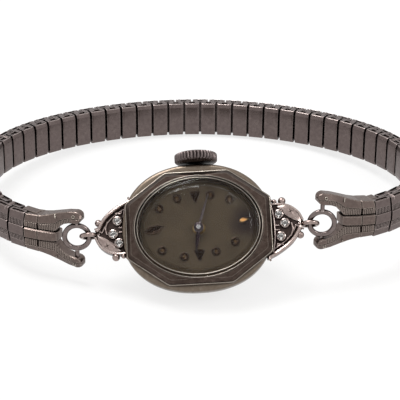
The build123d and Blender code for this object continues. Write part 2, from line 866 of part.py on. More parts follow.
def fork_outline():
    """Face of a bracelet end along +X from the ring: two arms that part and a middle tongue."""
    half = link_width / 2
    end = fork_length - link_gap
    waist = (end * fork_waist_shares[0], half * fork_waist_shares[1])
    crotch_edge = (fork_crotch, fork_tip_outer * fork_spread_share)
    crotch_side = fork_tongue_half + fork_groove
    mouth = (fork_crotch * fork_mouth_share, fork_tip_inner * fork_spread_share)
    upper = Spline((end, half), waist, crotch_edge, (0, fork_tip_outer), tangents=((-1, 0), (-1, 0)))
    nose = ThreePointArc((0, fork_tip_outer), (-fork_nose, (fork_tip_outer + fork_tip_inner) / 2),
                         (0, fork_tip_inner))
    inner = Spline((0, fork_tip_inner), mouth, (fork_crotch, crotch_side))
    crotch = Line((fork_crotch, crotch_side), (fork_crotch, 0))
    axis = Line((fork_crotch, 0), (end, 0))
    close = Line((end, 0), (end, half))
    top = make_face([upper, nose, inner, crotch, axis, close])
    return top + mirror(top, about=Plane.XZ)


def make_fork():
    """Bracelet end drawn with +X along the bracelet and its face towards -Y."""
    plate = extrude(fork_outline(), amount=band_thickness / 2, both=True)
    plate = Rot(90, 0, 0) * plate
    thick = band_thickness / 2
    thin = fork_tip_thickness / 2
    taper_end = fork_length * fork_taper_share
    back = [(fork_length, thick), (taper_end, thick), (fork_crotch, thin), (-2 * fork_nose, thin)]
    front = [(x, -y) for x, y in reversed(back)]
    plate &= slab(Polygon(*(back + front), align=None), -2 * fork_tip_outer, 2 * fork_tip_outer)
    root = Rot(0, 0, root_heading - fork_heading - 180)
    root_cut = Pos(fork_length - link_gap / 2, 0, 0) * root * Box(
        fork_length, 2 * band_thickness, 2 * fork_tip_outer, align=(Align.MIN, Align.CENTER, Align.CENTER))
    plate -= root_cut
    for side in (-1, 1):
        groove = Box(fork_length, fork_groove_depth, fork_groove,
                     align=(Align.MIN, Align.MIN, Align.CENTER))
        across = side * (fork_tongue_half + fork_groove / 2)
        plate -= Pos(fork_crotch - fork_groove, -thick, across) * groove
        seat = disc(trunnion_radius + run_gap, 0, fork_tip_inner + trunnion_seat + free_gap)
        plate -= Rot(90 - 90 * side, 0, 0) * seat
    return plate


# Links
link_length = link_pitch - link_gap
outer_offset = link_layer + layer_gap
leaf_low = outer_offset + link_layer - link_wall - run_gap - leaf_thickness


def make_tube(shared_wall, show_wall):
    """A hollow link, open at both edges of the bracelet, lying from y 0 outwards.

    The wall that it shares with the other layer is let in at both edges for the staples,
    and the wall that shows is bevelled there.
    """
    outline = Rectangle(link_length, link_layer, align=(Align.CENTER, Align.MIN))
    room = link_length - 2 * link_wall
    inside = Rectangle(room, link_layer - 2 * link_wall, align=(Align.CENTER, Align.MIN))
    inside = Pos(0, link_wall) * inside
    tube = slab(outline - inside, -link_width / 2, link_width / 2)
    deep = staple_thickness + run_gap
    for side in (-1, 1):
        edge = side * link_width / 2
        tube -= Pos(0, shared_wall, edge) * Box(room, 2 * link_wall, 2 * deep)
        inwards = link_bevel_depth if show_wall else -link_bevel_depth
        corner = Plane.YZ * Polygon((show_wall, edge), (show_wall, edge - side * link_edge_bevel),
                                    (show_wall - inwards, edge), align=None)
        tube -= extrude(corner, amount=link_length, both=True)
    return tube


def make_staple():
    """A U-shaped staple whose legs reach into an inner tube and the outer tube over it."""
    low = link_layer / 2 - staple_thickness / 2
    high = leaf_low - run_gap
    top = link_width / 2
    leg_end = top - staple_leg
    bar_low = top - staple_thickness
    outline = Polygon((low, leg_end), (low + staple_thickness, leg_end), (low + staple_thickness, bar_low),
                      (high - staple_thickness, bar_low), (high - staple_thickness, leg_end),
                      (high, leg_end), (high, top), (low, top), align=None)
    return extrude(Plane.YZ * outline, amount=staple_width / 2, both=True)


def inner_link(index, side):
    """The inner tube between two whole pitches from the middle of the back."""
    return on_path(make_tube(link_layer, 0), (index + 1 / 2) * link_pitch, side)


def outer_link(index, side):
    """The outer tube centred a whole number of pitches from the middle of the back."""
    return on_path(Pos(0, outer_offset, 0) * make_tube(0, link_layer), index * link_pitch, side)


def leaf(index, side):
    """The flat spring against the outer wall of an outer tube."""
    room = link_length - 2 * link_wall - 2 * run_gap
    strip = Box(room, leaf_thickness, link_width - 2 * link_wall)
    return on_path(Pos(0, leaf_low + leaf_thickness / 2, 0) * strip, index * link_pitch, side)


def staples(index, side, turn_to):
    """The two staples that tie an outer tube to the inner tube beyond it (1) or before it (-1)."""
    at = (index + turn_to / 4) * link_pitch
    staple = make_staple()
    return [on_path(placed, at, side) for placed in (staple, mirror(staple, about=Plane.XY))]


def link_group(indexes, side):
    """Tubes, springs and staples of a run of links that move together."""
    pieces = []
    for index in indexes:
        pieces += [outer_link(index, side), leaf(index, side)]
        if index > indexes[0]:
            pieces += staples(index, side, -1)
        if index < links_each_side - 1:
            pieces.append(inner_link(index, side))
            pieces += staples(index, side, 1)
    return group(pieces)


# Rest pose: the head hangs on the rings, leaning back, and its back's lower edge and the
# middle of the bracelet's back stand on the same surface
def head_place():
    return Pos(0, 0, band_middle) * Rot(0, -head_roll, 0) * Rot(90 - head_lean, 0, 0)


def floor_tilt():
    """How far the bracelet's plane tips towards its back, in degrees."""
    lean = radians(head_lean)
    rim = case_half_height - back_rim_inset - back_depth * back_slope
    level = case_bottom - back_depth
    drop = rim * cos(lean) - level * sin(lean) - band_middle
    front = rim * sin(lean) + level * cos(lean)
    rear = loop_centre_depth + loop_rear_depth + band_thickness
    return degrees(atan2(drop, rear + front))


nodes = {}


def add_head(name, shape):
    nodes[name] = head_place() * shape


def add_case():
    add_head("case_body", make_case_body())
    add_head("case_back", make_case_back())
    add_head("bezel", make_bezel())
    add_head("crystal", make_crystal())
    add_head("right_shoulder", make_shoulder())
    add_head("left_shoulder", Rot(0, 0, 180) * make_shoulder())
    add_head("shoulder_stones", make_stones())
    add_head("case_tube", make_case_tube())


def add_dial_side():
    add_head("dial", make_dial())
    add_head("hour_markers", make_hour_markers())
    hour_hand, hour_wheel = make_hour_hand()
    add_head("hour_hand", hour_hand)
    add_head("hour_wheel", hour_wheel)
    add_head("minute_hand", make_minute_hand())
    add_head("cannon_pinion", make_cannon_pinion())
    add_head("minute_wheel", make_minute_wheel()[0])


def add_movement():
    add_head("main_plate", make_main_plate())
    add_head("train_bridge", make_train_bridge())
    add_head("balance_cock", make_balance_cock())
    add_head("mainspring_barrel", make_barrel())
    add_head("ratchet_wheel", make_ratchet())
    add_head("crown_wheel", make_crown_wheel())
    high = plate_bottom - run_gap
    low = bridge_bottom + barrel_clear_above
    center_wheel = train_wheel(centre_axis, center_wheel_radius, center_wheel_level,
                               center_pinion_radius, low, center_wheel_level)
    center_wheel += disc(arbor_radius, plate_bottom - run_gap, plate_top + run_gap)
    center_wheel += disc(cannon_bore, plate_top, minute_hand_bottom - 2 * hand_thickness)
    add_head("center_wheel", center_wheel)
    add_head("third_wheel", train_wheel(third_axis, third_wheel_radius, third_wheel_level,
                                        third_pinion_radius, third_wheel_level, high))
    add_head("fourth_wheel", train_wheel(fourth_axis, fourth_wheel_radius, fourth_wheel_level,
                                         fourth_pinion_radius, low, fourth_wheel_level))
    add_head("escape_wheel", train_wheel(escape_axis, escape_wheel_radius, escape_wheel_level,
                                         escape_pinion_radius, escape_wheel_level, high))
    add_head("pallet_fork", make_pallet_fork())
    add_head("balance_wheel", make_balance())
    add_head("hairspring", make_hairspring())
    add_head("jewels", make_jewels())
    add_head("bridge_screws", make_screws())


def add_crown():
    add_head("crown", make_crown())
    add_head("winding_stem", make_stem())
    add_head("clutch_wheel", make_clutch())
    add_head("winding_pinion", make_winding_pinion())


def make_root_lug(side):
    """The inner half of a bracelet end, which reaches under the last outer tube."""
    start = root_length - link_pitch / 2 + link_gap / 2
    lug = Box(link_pitch, link_layer, link_width, align=(Align.MIN, Align.MIN, Align.CENTER))
    return on_path(lug, start, side)


def add_ends():
    for name, side in (("left", -1), ("right", 1)):
        spot = Pos(ring_span, 0, band_middle + side * ring_rise)
        ring = spot * make_ring()
        fork = spot * Rot(0, 0, fork_heading) * make_fork()
        if side < 0:
            ring = mirror_x(ring)
            fork = mirror_x(fork)
        nodes[name + "_ring"] = ring
        nodes[name + "_bracelet_end"] = fork + make_root_lug(side)


def add_links():
    first = first_stretch_link
    last = first + stretch_links
    for name, side in (("left", -1), ("right", 1)):
        nodes[name + "_front_links"] = link_group(range(last, links_each_side), side)
        for number, index in enumerate(reversed(range(first, last)), start=1):
            nodes[f"{name}_link_{number}"] = link_group([index], side)
    rear = [(index, side) for side in (-1, 1) for index in range(first)]
    outer = [spot for spot in rear if spot != (0, -1)]
    nodes["rear_inner_links"] = group([inner_link(*spot) for spot in rear])
    nodes["rear_outer_links"] = group([outer_link(*spot) for spot in outer])
    nodes["rear_leaf_springs"] = group([leaf(*spot) for spot in outer])
    ahead = [piece for spot in rear for piece in staples(*spot, 1)]
    behind = [piece for index, side in rear if index > 0 for piece in staples(index, side, -1)]
    nodes["rear_staples"] = group(ahead + behind)


add_case()
add_dial_side()
add_movement()
add_crown()
add_ends()
add_links()

tipped = Rot(-floor_tilt(), 0, 0)
box = Compound(children=[tipped * shape for shape in nodes.values()]).bounding_box()
rest_place = Pos(-box.center().X, -box.center().Y, -box.min.Z) * tipped

for name, shape in nodes.items():
    export_step(rest_place * shape, f"parts/{name}.step")
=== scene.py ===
import json
import bmesh
import bpy
import numpy as np
from mathutils import Matrix


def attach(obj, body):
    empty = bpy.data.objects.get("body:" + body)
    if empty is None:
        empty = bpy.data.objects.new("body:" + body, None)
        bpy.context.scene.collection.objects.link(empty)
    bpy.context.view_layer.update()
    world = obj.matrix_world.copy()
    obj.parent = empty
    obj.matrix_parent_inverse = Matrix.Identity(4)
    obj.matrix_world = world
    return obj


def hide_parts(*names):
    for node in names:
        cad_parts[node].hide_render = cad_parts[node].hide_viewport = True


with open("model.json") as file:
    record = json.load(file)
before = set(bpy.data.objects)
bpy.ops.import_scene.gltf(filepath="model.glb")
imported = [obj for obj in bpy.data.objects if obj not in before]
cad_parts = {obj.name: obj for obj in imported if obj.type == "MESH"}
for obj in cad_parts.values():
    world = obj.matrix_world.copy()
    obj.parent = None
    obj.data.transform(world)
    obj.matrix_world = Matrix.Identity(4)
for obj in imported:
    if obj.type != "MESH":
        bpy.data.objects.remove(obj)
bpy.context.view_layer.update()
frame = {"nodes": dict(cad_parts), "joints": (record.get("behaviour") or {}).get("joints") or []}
MM = 0.001
X, Y, Z = (1, 0, 0), (0, 1, 0), (0, 0, 1)
nodes = frame["nodes"]
joints = {joint["name"]: joint for joint in frame["joints"]}

# Frames. The head's own frame has X from the twelve to the six, Y towards the crown and Z out
# of the dial; the bracelet's has X to the right, Y to the back and Z across its width
head_at = np.array(joints["head_rock"]["pos_m"]) / MM
head_x = -np.array(joints["head_rock"]["axis"])
head_z = np.array(joints["minute_hand_turn"]["axis"])
head_axes = np.array([head_x, np.cross(head_z, head_x), head_z])
band_z = np.array(joints["left_ring_swing"]["axis"])
band_axes = np.array([X, np.cross(band_z, X), band_z])
half_width = 4.35 / 2
band_at = head_at - band_z * half_width


def in_head(points):
    return points @ head_axes + head_at


def in_band(points):
    return points @ band_axes + band_at


# Surfaces: each is a pair, points in mm and four-sided faces
def stack(rings, hollow=False, flip=False):
    """Closed outlines laid one above the other; in a hollow stack the last joins the first."""
    points = np.array(rings)
    index = np.arange(points[..., 0].size).reshape(points.shape[:2])
    index = np.hstack([index, index[:, :1]])
    if hollow:
        index = np.vstack([index, index[:1]])
    quads = np.stack([index[:-1, :-1], index[:-1, 1:], index[1:, 1:], index[1:, :-1]], -1)
    quads = quads.reshape(-1, 4)
    return points.reshape(-1, 3), quads[:, ::-1] if flip else quads


def join(parts):
    """Several surfaces as one."""
    shifts = np.cumsum([0] + [len(points) for points, _ in parts[:-1]])
    faces = np.concatenate([quads + shift for (_, quads), shift in zip(parts, shifts)])
    return np.concatenate([points for points, _ in parts]), faces


def moved(part, shift):
    return part[0] + shift, part[1]


def laid(part, rows):
    """A surface with its axes X, Y and Z turned to three given directions."""
    return part[0] @ np.array(rows), part[1]


def turned(part, turn):
    """Turned about Z by an angle in radians."""
    c, s = np.cos(turn), np.sin(turn)
    return laid(part, [(c, s, 0), (-s, c, 0), Z])


def turned_half(part):
    """Turned half round about Z, as the twelve side's shoulder is to the six side's."""
    return part[0] * (-1, -1, 1), part[1]


def mirrored(part, signs=(-1, 1, 1)):
    """The same surface across X zero, or another plane, with its faces turned outwards again."""
    return part[0] * signs, part[1][:, ::-1]


def put(name, data):
    """An object of some data, in the scene."""
    made = bpy.data.objects.new(name, data)
    bpy.context.scene.collection.objects.link(made)
    return made


def piece(name, part, place, body, slot, material, replaces=(), sharp=32):
    """Makes an object of a surface, closes its seams and poles and gives it a body and finish."""
    points, quads = part
    mesh = bpy.data.meshes.new(name)
    mesh.from_pydata((place(points) * MM).tolist(), [], quads.tolist())
    work = bmesh.new()
    work.from_mesh(mesh)
    bmesh.ops.remove_doubles(work, verts=work.verts, dist=2e-6)
    bmesh.ops.dissolve_degenerate(work, edges=work.edges, dist=1e-7)
    work.to_mesh(mesh)
    work.free()
    mesh.polygons.foreach_set("use_smooth", [True] * len(mesh.polygons))
    mesh.set_sharp_from_angle(angle=np.radians(sharp))
    mesh.materials.append(material)
    made = put(name, mesh)
    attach(made, body)
    if replaces:
        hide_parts(*replaces)
    return made


def angles(count):
    return np.arange(count) * 2 * np.pi / count


def level(outline, height):
    """A plane outline lifted to a height, or to a height for each of its points."""
    return np.column_stack([outline, np.full(len(outline), 0.0) + height])


def oval(half_length, half_height, turns):
    return np.column_stack([half_length * np.cos(turns), half_height * np.sin(turns)])


def centre_of(outline):
    """The outline's middle point, as often as the outline has points."""
    return np.repeat(outline.mean(0)[None], len(outline), 0)


def smooth_line(points, count):
    """A curve through points: each span blends its ends with the slopes to their neighbours."""
    points = np.array(points, float)
    before = np.vstack([2 * points[0] - points[1], points[:-1]])
    after = np.vstack([points[1:], 2 * points[-1] - points[-2]])
    slope = (after - before) / 2
    at = np.linspace(0, len(points) - 1, count)
    span = np.minimum(at.astype(int), len(points) - 2)
    s = (at - span)[:, None]
    return ((2 * s ** 3 - 3 * s ** 2 + 1) * points[span] + (s ** 3 - 2 * s ** 2 + s) * slope[span]
            + (3 * s ** 2 - 2 * s ** 3) * points[span + 1] + (s ** 3 - s ** 2) * slope[span + 1])


def wire(path, radius, up=Z, closed=False, sides=12, flat=1.0):
    """A round section carried along a path; flat stretches it along the up direction."""
    path = np.array(path, float)
    radius = np.full(len(path), 0.0) + radius
    if closed:
        along = np.roll(path, -1, 0) - np.roll(path, 1, 0)
    else:
        path = np.vstack([path[:1], path, path[-1:]])
        radius = np.concatenate([[0], radius, [0]])
        along = np.gradient(path[1:-1], axis=0)
        along = np.vstack([along[:1], along, along[-1:]])
    along /= np.linalg.norm(along, axis=1)[:, None]
    aside = np.cross(along, up)
    aside /= np.linalg.norm(aside, axis=1)[:, None]
    over = np.cross(aside, along)
    turns = angles(sides)
    around = (aside[:, None] * np.cos(turns)[None, :, None]
              + over[:, None] * flat * np.sin(turns)[None, :, None])
    return stack(path[:, None] + around * radius[:, None, None], hollow=closed, flip=True)


def hoop(path, radius, up=Z, sides=8):
    """A wire whose end meets its start."""
    return wire(path, radius, up, True, sides)


def circle_path(centre, radius, first=X, second=Y, count=48):
    """A circle about a centre in the plane of two directions."""
    turns = angles(count)[:, None]
    return centre + radius * (np.cos(turns) * first + np.sin(turns) * second)


def ball(centre, radius, rings, sides):
    """Circles of latitude from the lower pole to the upper."""
    rise = np.linspace(-np.pi / 2, np.pi / 2, rings)[:, None]
    turns = angles(sides)[None]
    points = np.stack([np.cos(rise) * np.cos(turns), np.cos(rise) * np.sin(turns),
                       np.sin(rise) * np.ones_like(turns)], -1)
    return stack(points * radius + centre)


def lathe(profile, sides=32, centre=(0, 0, 0)):
    """A profile of (radius, height) turned about Z, from the bottom outwards and over the top."""
    turns = angles(sides)
    rings = [level(oval(radius, radius, turns), height) for radius, height in profile]
    return stack(np.array(rings) + centre)


# Shader parts
def shade(tree, kind, inputs=(), **settings):
    """A node with its settings, and with values or links on its named inputs."""
    made = tree.nodes.new(kind)
    for key, value in settings.items():
        setattr(made, key, value)
    for key, value in dict(inputs).items():
        if isinstance(value, bpy.types.NodeSocket):
            tree.links.new(value, made.inputs[key])
        else:
            made.inputs[key].default_value = value
    return made


def maths(tree, operation, *values):
    return shade(tree, "ShaderNodeMath", enumerate(values), operation=operation).outputs[0]


def blend(tree, amount, first, second):
    return shade(tree, "ShaderNodeMix", {0: amount, 6: first, 7: second}, data_type="RGBA").outputs[2]


def ramp(tree, value, start=(0.0, 1.0), end=(0.0, 1.0)):
    """A value carried from one pair of limits to another pair, and held there."""
    limits = {"From Min": start[0], "From Max": start[1], "To Min": end[0], "To Max": end[1]}
    return shade(tree, "ShaderNodeMapRange", {"Value": value, **limits}).outputs[0]


def own_place(tree):
    """Object coordinates."""
    return shade(tree, "ShaderNodeTexCoord").outputs["Object"]


def noise(tree, place, scale, detail, roughness=0.5):
    return shade(tree, "ShaderNodeTexNoise", {"Vector": place, "Scale": scale, "Detail": detail,
                                              "Roughness": roughness}).outputs["Fac"]


def bumps(tree, height, strength, distance):
    """A normal tilted by the slopes of a height."""
    return shade(tree, "ShaderNodeBump", {"Height": height, "Strength": strength,
                                          "Distance": distance}).outputs["Normal"]


def group(name, inputs, outputs):
    """An empty node group with named sockets."""
    tree = bpy.data.node_groups.new(name, "ShaderNodeTree")
    for way, labels in (("INPUT", inputs), ("OUTPUT", outputs)):
        for label, kind in labels.items():
            tree.interface.new_socket(label, in_out=way, socket_type="NodeSocket" + kind)
    return tree, tree.nodes.new("NodeGroupInput").outputs, tree.nodes.new("NodeGroupOutput").inputs


def make_tarnish():
    """Clouds and specks that run from the clean colour to the dull one, with their height."""
    tree, given, out = group("tarnish", {"Clean": "Color", "Dull": "Color", "Scale": "Float",
                                         "Smooth": "Float", "Rough": "Float"},
                             {"Color": "Color", "Roughness": "Float", "Height": "Float"})
    place = own_place(tree)
    clouds = noise(tree, place, given["Scale"], 5.0, 0.62)
    specks = noise(tree, place, maths(tree, "MULTIPLY", given["Scale"], 5.0), 3.0)
    both = maths(tree, "MULTIPLY_ADD", specks, 0.6, clouds)
    amount = ramp(tree, both, (0.55, 1.1))
    tree.links.new(blend(tree, amount, given["Clean"], given["Dull"]), out["Color"])
    tree.links.new(ramp(tree, amount, end=(given["Smooth"], given["Rough"])), out["Roughness"])
    tree.links.new(both, out["Height"])
    return tree


def make_handling_and_shading():
    """Grime and painted shade where the surface is shut in, and lighter edges that are partly wear and
    partly painted highlight.
    """
    tree, given, out = group("handling", {"Color": "Color", "Dirt": "Color", "Bright": "Color",
                                          "Depth": "Float", "Edge": "Float"}, {"Color": "Color"})
    # Painted shade, partly grime: ambient occlusion darkens shut-in places towards the darker colour.
    opening = shade(tree, "ShaderNodeAmbientOcclusion", {"Distance": given["Depth"]}, samples=8)
    clean = ramp(tree, opening.outputs["AO"], (0.25, 0.85))
    # Painted highlight, partly wear: edges found by the bevel normal lean to the bright colour.
    rounded = shade(tree, "ShaderNodeBevel", {"Radius": given["Edge"]}, samples=6)
    flat = shade(tree, "ShaderNodeNewGeometry")
    along = shade(tree, "ShaderNodeVectorMath", {0: rounded.outputs["Normal"], 1: flat.outputs["Normal"]},
                  operation="DOT_PRODUCT")
    edge = ramp(tree, along.outputs["Value"], (0.995, 0.93))
    rubbed_and_highlit = maths(tree, "MULTIPLY", edge, clean)
    lit = blend(tree, rubbed_and_highlit, given["Color"], given["Bright"])
    tree.links.new(blend(tree, clean, given["Dirt"], lit), out["Color"])
    return tree


tarnish = make_tarnish()
handling = make_handling_and_shading()


def placed_group(tree, held, values):
    """A shared group in a material, with its own values; a colour gets its full opacity."""
    values = {key: (*value, 1) if isinstance(value, tuple) else value for key, value in values.items()}
    return shade(tree, "ShaderNodeGroup", values, node_tree=held).outputs


def new_material(name, values):
    """A material, its tree and the inputs of its Principled surface, some of them set."""
    material = bpy.data.materials.new(name)
    material.use_nodes = True
    surface = material.node_tree.nodes["Principled BSDF"].inputs
    for key, value in values.items():
        surface[key].default_value = value
    return material, material.node_tree, surface


def worn_metal_with_painted_light(name, clean, dull, bright, scale=2400.0, smooth=0.24, rough=0.4, bump=0.06,
               depth=0.0005, edge=0.00007):
    """Aged metal: tarnish, with grime and painted shade in the recesses and bright edges of wear and
    painted highlight, a little uneven.
    """
    material, tree, surface = new_material(name, {"Metallic": 1.0})
    film = placed_group(tree, tarnish, {"Clean": clean, "Dull": dull, "Scale": scale,
                                        "Smooth": smooth, "Rough": rough})
    # The recess colour: grime and painted shade.
    dirt_and_shade = tuple(0.3 * part for part in dull)
    worn_shaded_and_highlit = placed_group(tree, handling, {"Color": film["Color"], "Dirt": dirt_and_shade, "Bright": bright,
                                         "Depth": depth, "Edge": edge})
    tree.links.new(worn_shaded_and_highlit["Color"], surface["Base Color"])
    tree.links.new(film["Roughness"], surface["Roughness"])
    tree.links.new(bumps(tree, film["Height"], bump, 0.00005), surface["Normal"])
    return material


def make_dial_paint():
    """Silvering gone olive brown, with a painted dark red-brown reflection that spreads from the six."""
    material, tree, surface = new_material("dial_paint", {"Metallic": 0.3, "Specular IOR Level": 0.25})
    film = placed_group(tree, tarnish, {"Clean": (0.068, 0.049, 0.03), "Dull": (0.04, 0.028, 0.016),
                                        "Scale": 450.0, "Smooth": 0.45, "Rough": 0.65})
    # Painted reflection: a dark red-brown patch round the six, ragged at its edge.
    reflection_place = in_head((5.3, 0.4, 0.95)) * MM
    place = own_place(tree)
    ragged = noise(tree, place, 900.0, 4.0)
    away = shade(tree, "ShaderNodeVectorMath", {0: place, 1: tuple(reflection_place)},
                 operation="DISTANCE").outputs["Value"]
    clean = ramp(tree, maths(tree, "MULTIPLY_ADD", ragged, 0.0016, away), (0.0017, 0.0031))
    with_reflection = blend(tree, clean, (0.014, 0.007, 0.006, 1), film["Color"])
    tree.links.new(with_reflection, surface["Base Color"])
    tree.links.new(film["Roughness"], surface["Roughness"])
    tree.links.new(bumps(tree, film["Height"], 0.1, 0.00003), surface["Normal"])
    return material


def clear(name, colour, rough, index, alpha=1.0):
    """Clear glass or plastic with fine rubbing on it."""
    material, tree, surface = new_material(name, {"Base Color": (*colour, 1), "IOR": index,
                                                  "Transmission Weight": 1.0, "Alpha": alpha})
    rub = noise(tree, own_place(tree), 1500.0, 4.0)
    tree.links.new(ramp(tree, rub, end=(rough, rough * 3)), surface["Roughness"])
    return material


# Finishes. Each metal has its clean colour, its dull colour and the colour of its bright edges, which is
# partly wear and partly painted highlight; its recesses take painted shade
case_metal = worn_metal_with_painted_light("case_metal", (0.19, 0.155, 0.125), (0.125, 0.095, 0.07), (0.5, 0.45, 0.4))
bezel_metal = worn_metal_with_painted_light("bezel_metal", (0.085, 0.062, 0.052), (0.03, 0.02, 0.016),
                         (0.3, 0.26, 0.22), scale=1500.0, smooth=0.25, rough=0.45, bump=0.25)
# A bright metal for painted highlight lines, a painted glint on the fork and the rivet ends.
bezel_edge_metal = worn_metal_with_painted_light("bezel_edge_metal", (0.4, 0.35, 0.3), (0.16, 0.13, 0.1), (0.55, 0.5, 0.44))
band_metal = worn_metal_with_painted_light("band_metal", (0.16, 0.127, 0.12), (0.11, 0.086, 0.082), (0.4, 0.34, 0.32))
fork_metal = worn_metal_with_painted_light("fork_metal", (0.165, 0.126, 0.112), (0.1, 0.076, 0.068), (0.4, 0.34, 0.3))
ring_metal = worn_metal_with_painted_light("ring_metal", (0.22, 0.18, 0.17), (0.12, 0.095, 0.09), (0.6, 0.53, 0.5),
                        smooth=0.12, rough=0.3)
shoulder_metal = worn_metal_with_painted_light("shoulder_metal", (0.42, 0.34, 0.31), (0.18, 0.13, 0.12),
                            (0.85, 0.75, 0.7), smooth=0.12, rough=0.3, depth=0.0008)
# A darker copy of the shoulder metal: painted shade for the let-in ground and the star cut.
recess_metal = worn_metal_with_painted_light("recess_metal", (0.075, 0.055, 0.05), (0.03, 0.02, 0.018), (0.25, 0.2, 0.18))
crown_metal = worn_metal_with_painted_light("crown_metal", (0.19, 0.155, 0.15), (0.075, 0.06, 0.057),
                         (0.4, 0.34, 0.33), edge=0.00004)
brass = worn_metal_with_painted_light("brass", (0.62, 0.45, 0.2), (0.4, 0.27, 0.11), (0.8, 0.62, 0.35))
nickel = worn_metal_with_painted_light("nickel", (0.6, 0.58, 0.54), (0.4, 0.38, 0.35), (0.75, 0.73, 0.7))
steel = worn_metal_with_painted_light("steel", (0.45, 0.45, 0.47), (0.28, 0.28, 0.3), (0.7, 0.7, 0.72), smooth=0.15, rough=0.3)
gilt = worn_metal_with_painted_light("gilt", (0.95, 0.5, 0.18), (0.6, 0.26, 0.08), (1.0, 0.75, 0.4), scale=4000.0)
pearl_metal = worn_metal_with_painted_light("pearl_metal", (0.13, 0.085, 0.05), (0.05, 0.03, 0.016),
                         (0.3, 0.22, 0.13), scale=5000.0)
marker_metal = worn_metal_with_painted_light("marker_metal", (0.02, 0.013, 0.01), (0.008, 0.005, 0.004),
                          (0.09, 0.06, 0.045), scale=5000.0)
minute_metal = worn_metal_with_painted_light("minute_metal", (0.06, 0.048, 0.055), (0.02, 0.015, 0.018),
                          (0.3, 0.26, 0.28), scale=5000.0)
hour_metal = worn_metal_with_painted_light("hour_metal", (0.02, 0.013, 0.016), (0.008, 0.005, 0.007),
                        (0.08, 0.06, 0.07), scale=5000.0)
dial_paint = make_dial_paint()
crystal_clear = clear("crystal_clear", (0.85, 0.82, 0.74), 0.02, 1.35, 0.25)
stone_clear = clear("stone_clear", (0.96, 0.93, 0.9), 0.01, 1.9)
ruby = clear("ruby", (0.8, 0.05, 0.12), 0.02, 1.76)

# Case, in the head's frame, whose X axis passes through the eyes of both shoulders
ring_turns = angles(160)
case_half_length = 8.5
case_half_height = 7.3
barrel_above = 7.5
barrel_below = 7.15
barrel_power = 2.25
barrel_shift = 0.2
back_joint = -2.0
back_face = -3.6
crystal_seat = 1.3
dome_radius = 34.0
dome_top = 3.05
crystal_wall = 0.55


def case_ring(inset, height, half_height=case_half_height):
    return level(oval(case_half_length - inset, half_height - inset, ring_turns), height)


def barrel_ring(inset, height):
    """A fuller oval than the others: its reach follows a power, a little less below."""
    c, s = np.cos(ring_turns), np.sin(ring_turns)
    depth = np.where(s > 0, barrel_above, barrel_below) - inset
    reach = ((np.abs(c) / (case_half_length - inset)) ** barrel_power
             + (np.abs(s) / depth) ** barrel_power) ** (-1 / barrel_power)
    return level(np.column_stack([reach * c - barrel_shift, reach * s]), height)


def make_case():
    """Barrel wall: full at the top, drawn in towards the back, bored, with a lip for the back."""
    outside = [(0.5, back_joint), (0.32, -1.8), (0.16, -1.3), (0.06, -0.7), (0.0, 0.0), (0.0, 0.5),
               (0.04, 0.72), (0.13, 0.88), (0.27, 0.97), (0.45, 1.0)]
    bore = [(1.65, 1.0), (1.65, -1.3), (1.3, -1.3), (1.3, back_joint)]
    return stack([barrel_ring(*place) for place in outside]
                 + [case_ring(*place, half_height=7.4) for place in bore], hollow=True)


def make_back():
    """Shallow dish with a rounded rim and a lip that stands up inside the case."""
    slope = np.tan(np.radians(28.0))
    dish = [(0.45 + (d - 0.08) * slope, back_joint - d) for d in (0.2, 0.8, 1.3, 1.48)]
    outside = [(0.55, back_joint), (0.45, -2.08)] + dish + [(0.45 + 1.6 * slope, back_face)]
    inside = [(1.35, -1.98), (1.35, -1.35), (1.65, -1.35), (1.75, -2.1), (2.35, -3.2)]
    middle = centre_of(oval(1, 1, ring_turns))
    return stack([level(middle, back_face)] + [case_ring(*place) for place in outside[::-1] + inside]
                 + [level(middle, -3.2)])


corner_turns = np.radians([20.98, 61.02, 118.98, 159.02, 200.98, 241.02, 298.98, 339.02])
corner_steps = np.radians([-1.2, -0.5, 0, 0.5, 1.2])
eight_turns = np.unique(np.concatenate([angles(128), (corner_turns[:, None] + corner_steps).ravel()]))
eight_ways = oval(1, 1, eight_turns)
side_normals = np.array([(1, 0), (0, 1), (-1, 0), (0, -1), (0.5887, 0.8084), (-0.5887, 0.8084),
                         (-0.5887, -0.8084), (0.5887, -0.8084)])
side_depths = np.array([8.2, 6.5, 8.2, 6.5, 7.374, 7.374, 7.374, 7.374])
corner_power = 90


def eight_sided(inset, height):
    """Outline whose reach in each direction is set by the nearest of eight sides, blended where
    two sides meet so that the corners are slightly round."""
    closeness = np.maximum(eight_ways @ side_normals.T, 0) / (side_depths - inset)
    reach = (closeness ** corner_power).sum(1) ** (-1 / corner_power)
    return level(eight_ways * reach[:, None], height)


def bezel_oval(half_length, half_height, height):
    """Oval with its points in the same directions as the eight-sided outline's."""
    reach = 1 / np.hypot(*(eight_ways / (half_length, half_height)).T)
    return level(eight_ways * reach[:, None], height)


def make_bezel():
    """Foot, a rim under the painted highlight line, eight sloping facets, a step to the crystal's oval and
    its seat.
    """
    facets = [(0.0, 1.0), (0.0, 1.38), (0.05, 1.45), (0.13, 1.47), (0.17, 1.46), (0.2, 1.5),
              (0.5, 1.93), (0.58, 2.0)]
    seat = [(7.32, 5.9, 2.04), (7.25, 5.84, 2.16), (7.16, 5.79, 2.2), (7.09, 5.73, 2.17),
            (7.08, 5.73, crystal_seat), (6.63, 5.28, crystal_seat), (6.63, 5.28, 1.0)]
    return stack([eight_sided(*place) for place in facets]
                 + [bezel_oval(*place) for place in seat], hollow=True)


def make_bezel_highlights():
    """Painted highlights: bright lines along the bezel's outer edge and the edge of the crystal's seat."""
    return join([hoop(eight_sided(0.1, 1.455), 0.04), hoop(bezel_oval(7.14, 5.8, 2.2), 0.02)])


